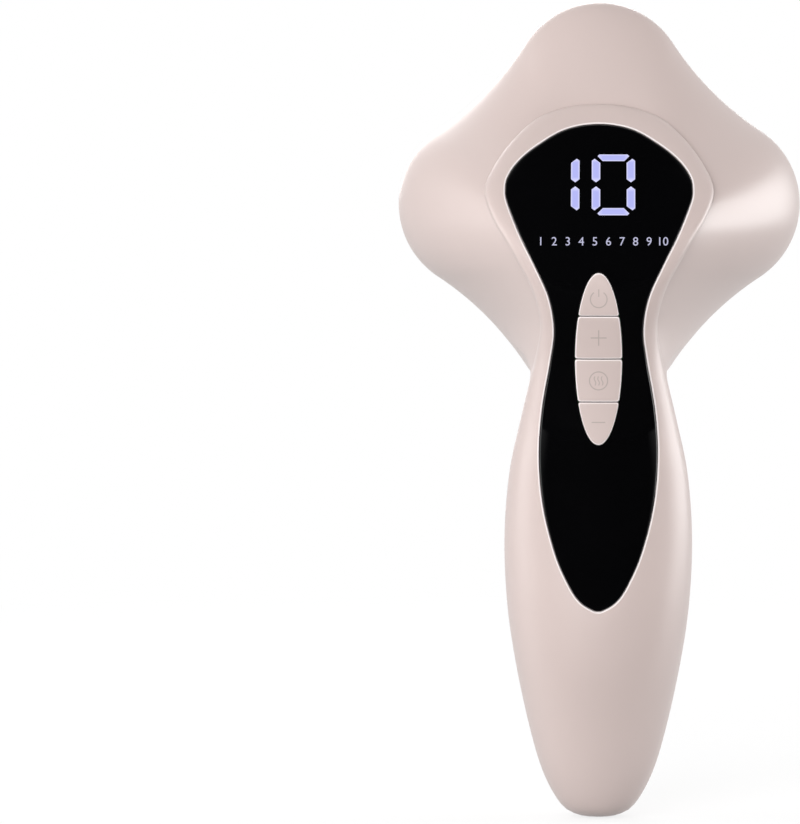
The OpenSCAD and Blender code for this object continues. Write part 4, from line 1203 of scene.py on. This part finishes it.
# %% Finishes for what lies inside
# Name, colour, roughness, metal, drift, patch, grain, relief, and the pieces that have it
INSIDE = [
    ("solder_mask", (0.03, 0.17, 0.08), 0.3, 0.0, 0.25, 0.9, 0.5, 0.01,
     "led_board main_board battery_board charge_board"),
    ("dull_black", (0.03, 0.03, 0.032), 0.55, 0.0, 0.1, 6, 0.3, 0.01,
     "switch_bodies power_plunger plus_plunger heat_plunger minus_plunger thermistor "
     "motor_cradle controller_chip pulse_transformer display_module port_tongue"),
    ("foam_rubber", (0.035, 0.035, 0.038), 0.9, 0.0, 0.3, 0.6, 0.5, 0.12,
     "battery_pads electrode_gaskets"),
    ("zinc_plate", (0.62, 0.62, 0.66), 0.32, 1.0, 0.08, 1.5, 0.3, 0.004,
     "electrode_nuts cradle_screws strap_screws board_screws housing_screws hood_screws "
     "motor_strap motor_can motor_shaft charge_port"),
    ("sintered_steel", (0.30, 0.29, 0.28), 0.6, 1.0, 0.12, 0.8, 0.25, 0.02, "eccentric_weight"),
    ("bare_copper", (0.80, 0.42, 0.25), 0.3, 1.0, 0.12, 4, 0.4, 0.004,
     "heater_films contact_tags"),
    ("cell_sleeve", (0.05, 0.14, 0.33), 0.35, 0.0, 0.08, 10, 3, 0.02, "battery_cell"),
    ("can_sleeve", (0.03, 0.035, 0.09), 0.35, 0.0, 0.1, 4, 1, 0.01, "capacitors"),
]
for *values, wearers in INSIDE:
    dress(finish(*values), *wearers.split())
dress(lit("lamp_die", (1.0, 0.1, 0.06), 0.6, (0.8, 0.5, 0.4)), "led_chips")
dress(lit("segment_light", (0.80, 0.78, 1.0), 0.6), "digit_segments")
print("materials", len(bpy.data.materials))

# %% [markdown]
# The studio's floor is pale paint that keeps the object's shadow and turns white farther out, so
# that no horizon shows. Its shaders are mixed by the kind of ray that looks: the black panel
# mirrors what lies in front of it, so for mirror rays the floor in front is painted near black, a
# painted dark reflection. Diffuse rays see a darker paint, which keeps the light from below low.

# %% The floor
drop_selection()
bpy.ops.mesh.primitive_plane_add(size=12, location=(0, 0, 0))
floor = named("floor")
ground = bpy.data.materials.new("floor_white")
ground.use_nodes = True
tree = ground.node_tree
tree.nodes.clear()
path = add(tree, "LightPath").outputs
place = add(tree, "TexCoord").outputs["Object"]
shade = add(tree, "Mix", data_type="RGBA", Factor=path["Is Diffuse Ray"],
            A=(0.95, 0.95, 0.95, 1), B=(0.42, 0.42, 0.42, 1))
paint = add(tree, "BsdfDiffuse", Color=shade.outputs["Result"]).outputs["BSDF"]
away = add(tree, "VectorMath", place, operation="LENGTH").outputs["Value"]
seen = maths(tree, "MAXIMUM", path["Is Camera Ray"], path["Is Glossy Ray"])
whiteness = maths(tree, "MULTIPLY", seen, spread_over(tree, away, 0.15, 0.6, 0.8, 1.0))
white = add(tree, "Emission").outputs["Emission"]
pale = add(tree, "MixShader", whiteness, paint, white).outputs["Shader"]
in_front = spread_over(tree, add(tree, "SeparateXYZ", Vector=place).outputs["Y"],
                       -0.03, -0.1, 0.0, 1.0)
# Painted dark reflection: the floor in front is near black, seen only by mirror rays.
painted_dark_reflection = add(tree, "BsdfDiffuse", Color=(0.01, 0.01, 0.01, 1)).outputs["BSDF"]
dark_reflection_share = maths(tree, "MULTIPLY", in_front, path["Is Glossy Ray"])
surface = add(tree, "MixShader", dark_reflection_share, pale, painted_dark_reflection).outputs["Shader"]
add(tree, "OutputMaterial", Surface=surface)
dress(ground, floor)
print("floor", round(floor.dimensions.x, 1), "m wide")

# %% [markdown]
# The room is a world of white walls. The camera sees them as the white background. Mirror rays see
# them bright at the sides and behind and dark ahead, again for the panel's sake, and all other
# rays take an even, soft light from them.

# %% The room
world = bpy.data.worlds.new("room")
bpy.context.scene.world = world
world.use_nodes = True
tree = world.node_tree
tree.nodes.clear()
path = add(tree, "LightPath").outputs
place = add(tree, "TexCoord").outputs["Generated"]
way = add(tree, "SeparateXYZ", Vector=place).outputs
sides = spread_over(tree, maths(tree, "ABSOLUTE", way["X"]), 0.75, 1.0, 0.0, 0.7,
                    interpolation_type="SMOOTHSTEP")
rear = spread_over(tree, way["Y"], 0.1, 0.7, 0.0, 0.9, interpolation_type="SMOOTHSTEP")


def wall(strength):
    return add(tree, "Background", Color=(1, 1, 1, 1), Strength=strength).outputs["Background"]


mirrored_wall = wall(maths(tree, "MAXIMUM", sides, rear))
lighting = add(tree, "MixShader", path["Is Glossy Ray"], wall(0.45), mirrored_wall)
backdrop = add(tree, "MixShader", path["Is Camera Ray"], lighting.outputs["Shader"], wall(1.0))
add(tree, "OutputWorld", Surface=backdrop.outputs["Shader"])
print("room with", len(tree.nodes), "nodes")

# %% [markdown]
# Four soft boxes light the massager: the main one in front, one on each side and one behind. The
# front one doesn't show in mirrors, since it would lie as a grey veil on the black panel. The long
# bright bands on the beige plastic are the two side boxes.

# %% The soft boxes
def soft_box(name, place, target, width, height, watts):
    data = bpy.data.lights.new(name, "AREA")
    data.shape = "RECTANGLE"
    data.size, data.size_y, data.energy = width, height, watts
    box = bpy.data.objects.new(name, data)
    box.location = place
    box.rotation_euler = (Vector(target) - Vector(place)).to_track_quat("-Z", "Y").to_euler()
    bpy.context.scene.collection.objects.link(box)
    return box


MIDDLE = (0, 0, 0.11)
key_box = soft_box("box_key", (-0.4, -1.15, 0.5), MIDDLE, 0.8, 1.0, 14)
key_box.visible_glossy = False
soft_box("box_left", (-1.2, -0.05, 0.4), MIDDLE, 0.6, 1.3, 5.5)
soft_box("box_right", (1.1, 0.35, 0.3), MIDDLE, 0.9, 0.6, 8)
soft_box("box_behind", (-0.2, 1.3, 0.6), (0, 0, 0.13), 1.0, 0.9, 11)
bpy.context.scene.view_settings.view_transform = "Standard"

# %% [markdown]
# Last, the view layer is brought up to date.

# %% The end
bpy.context.view_layer.update()
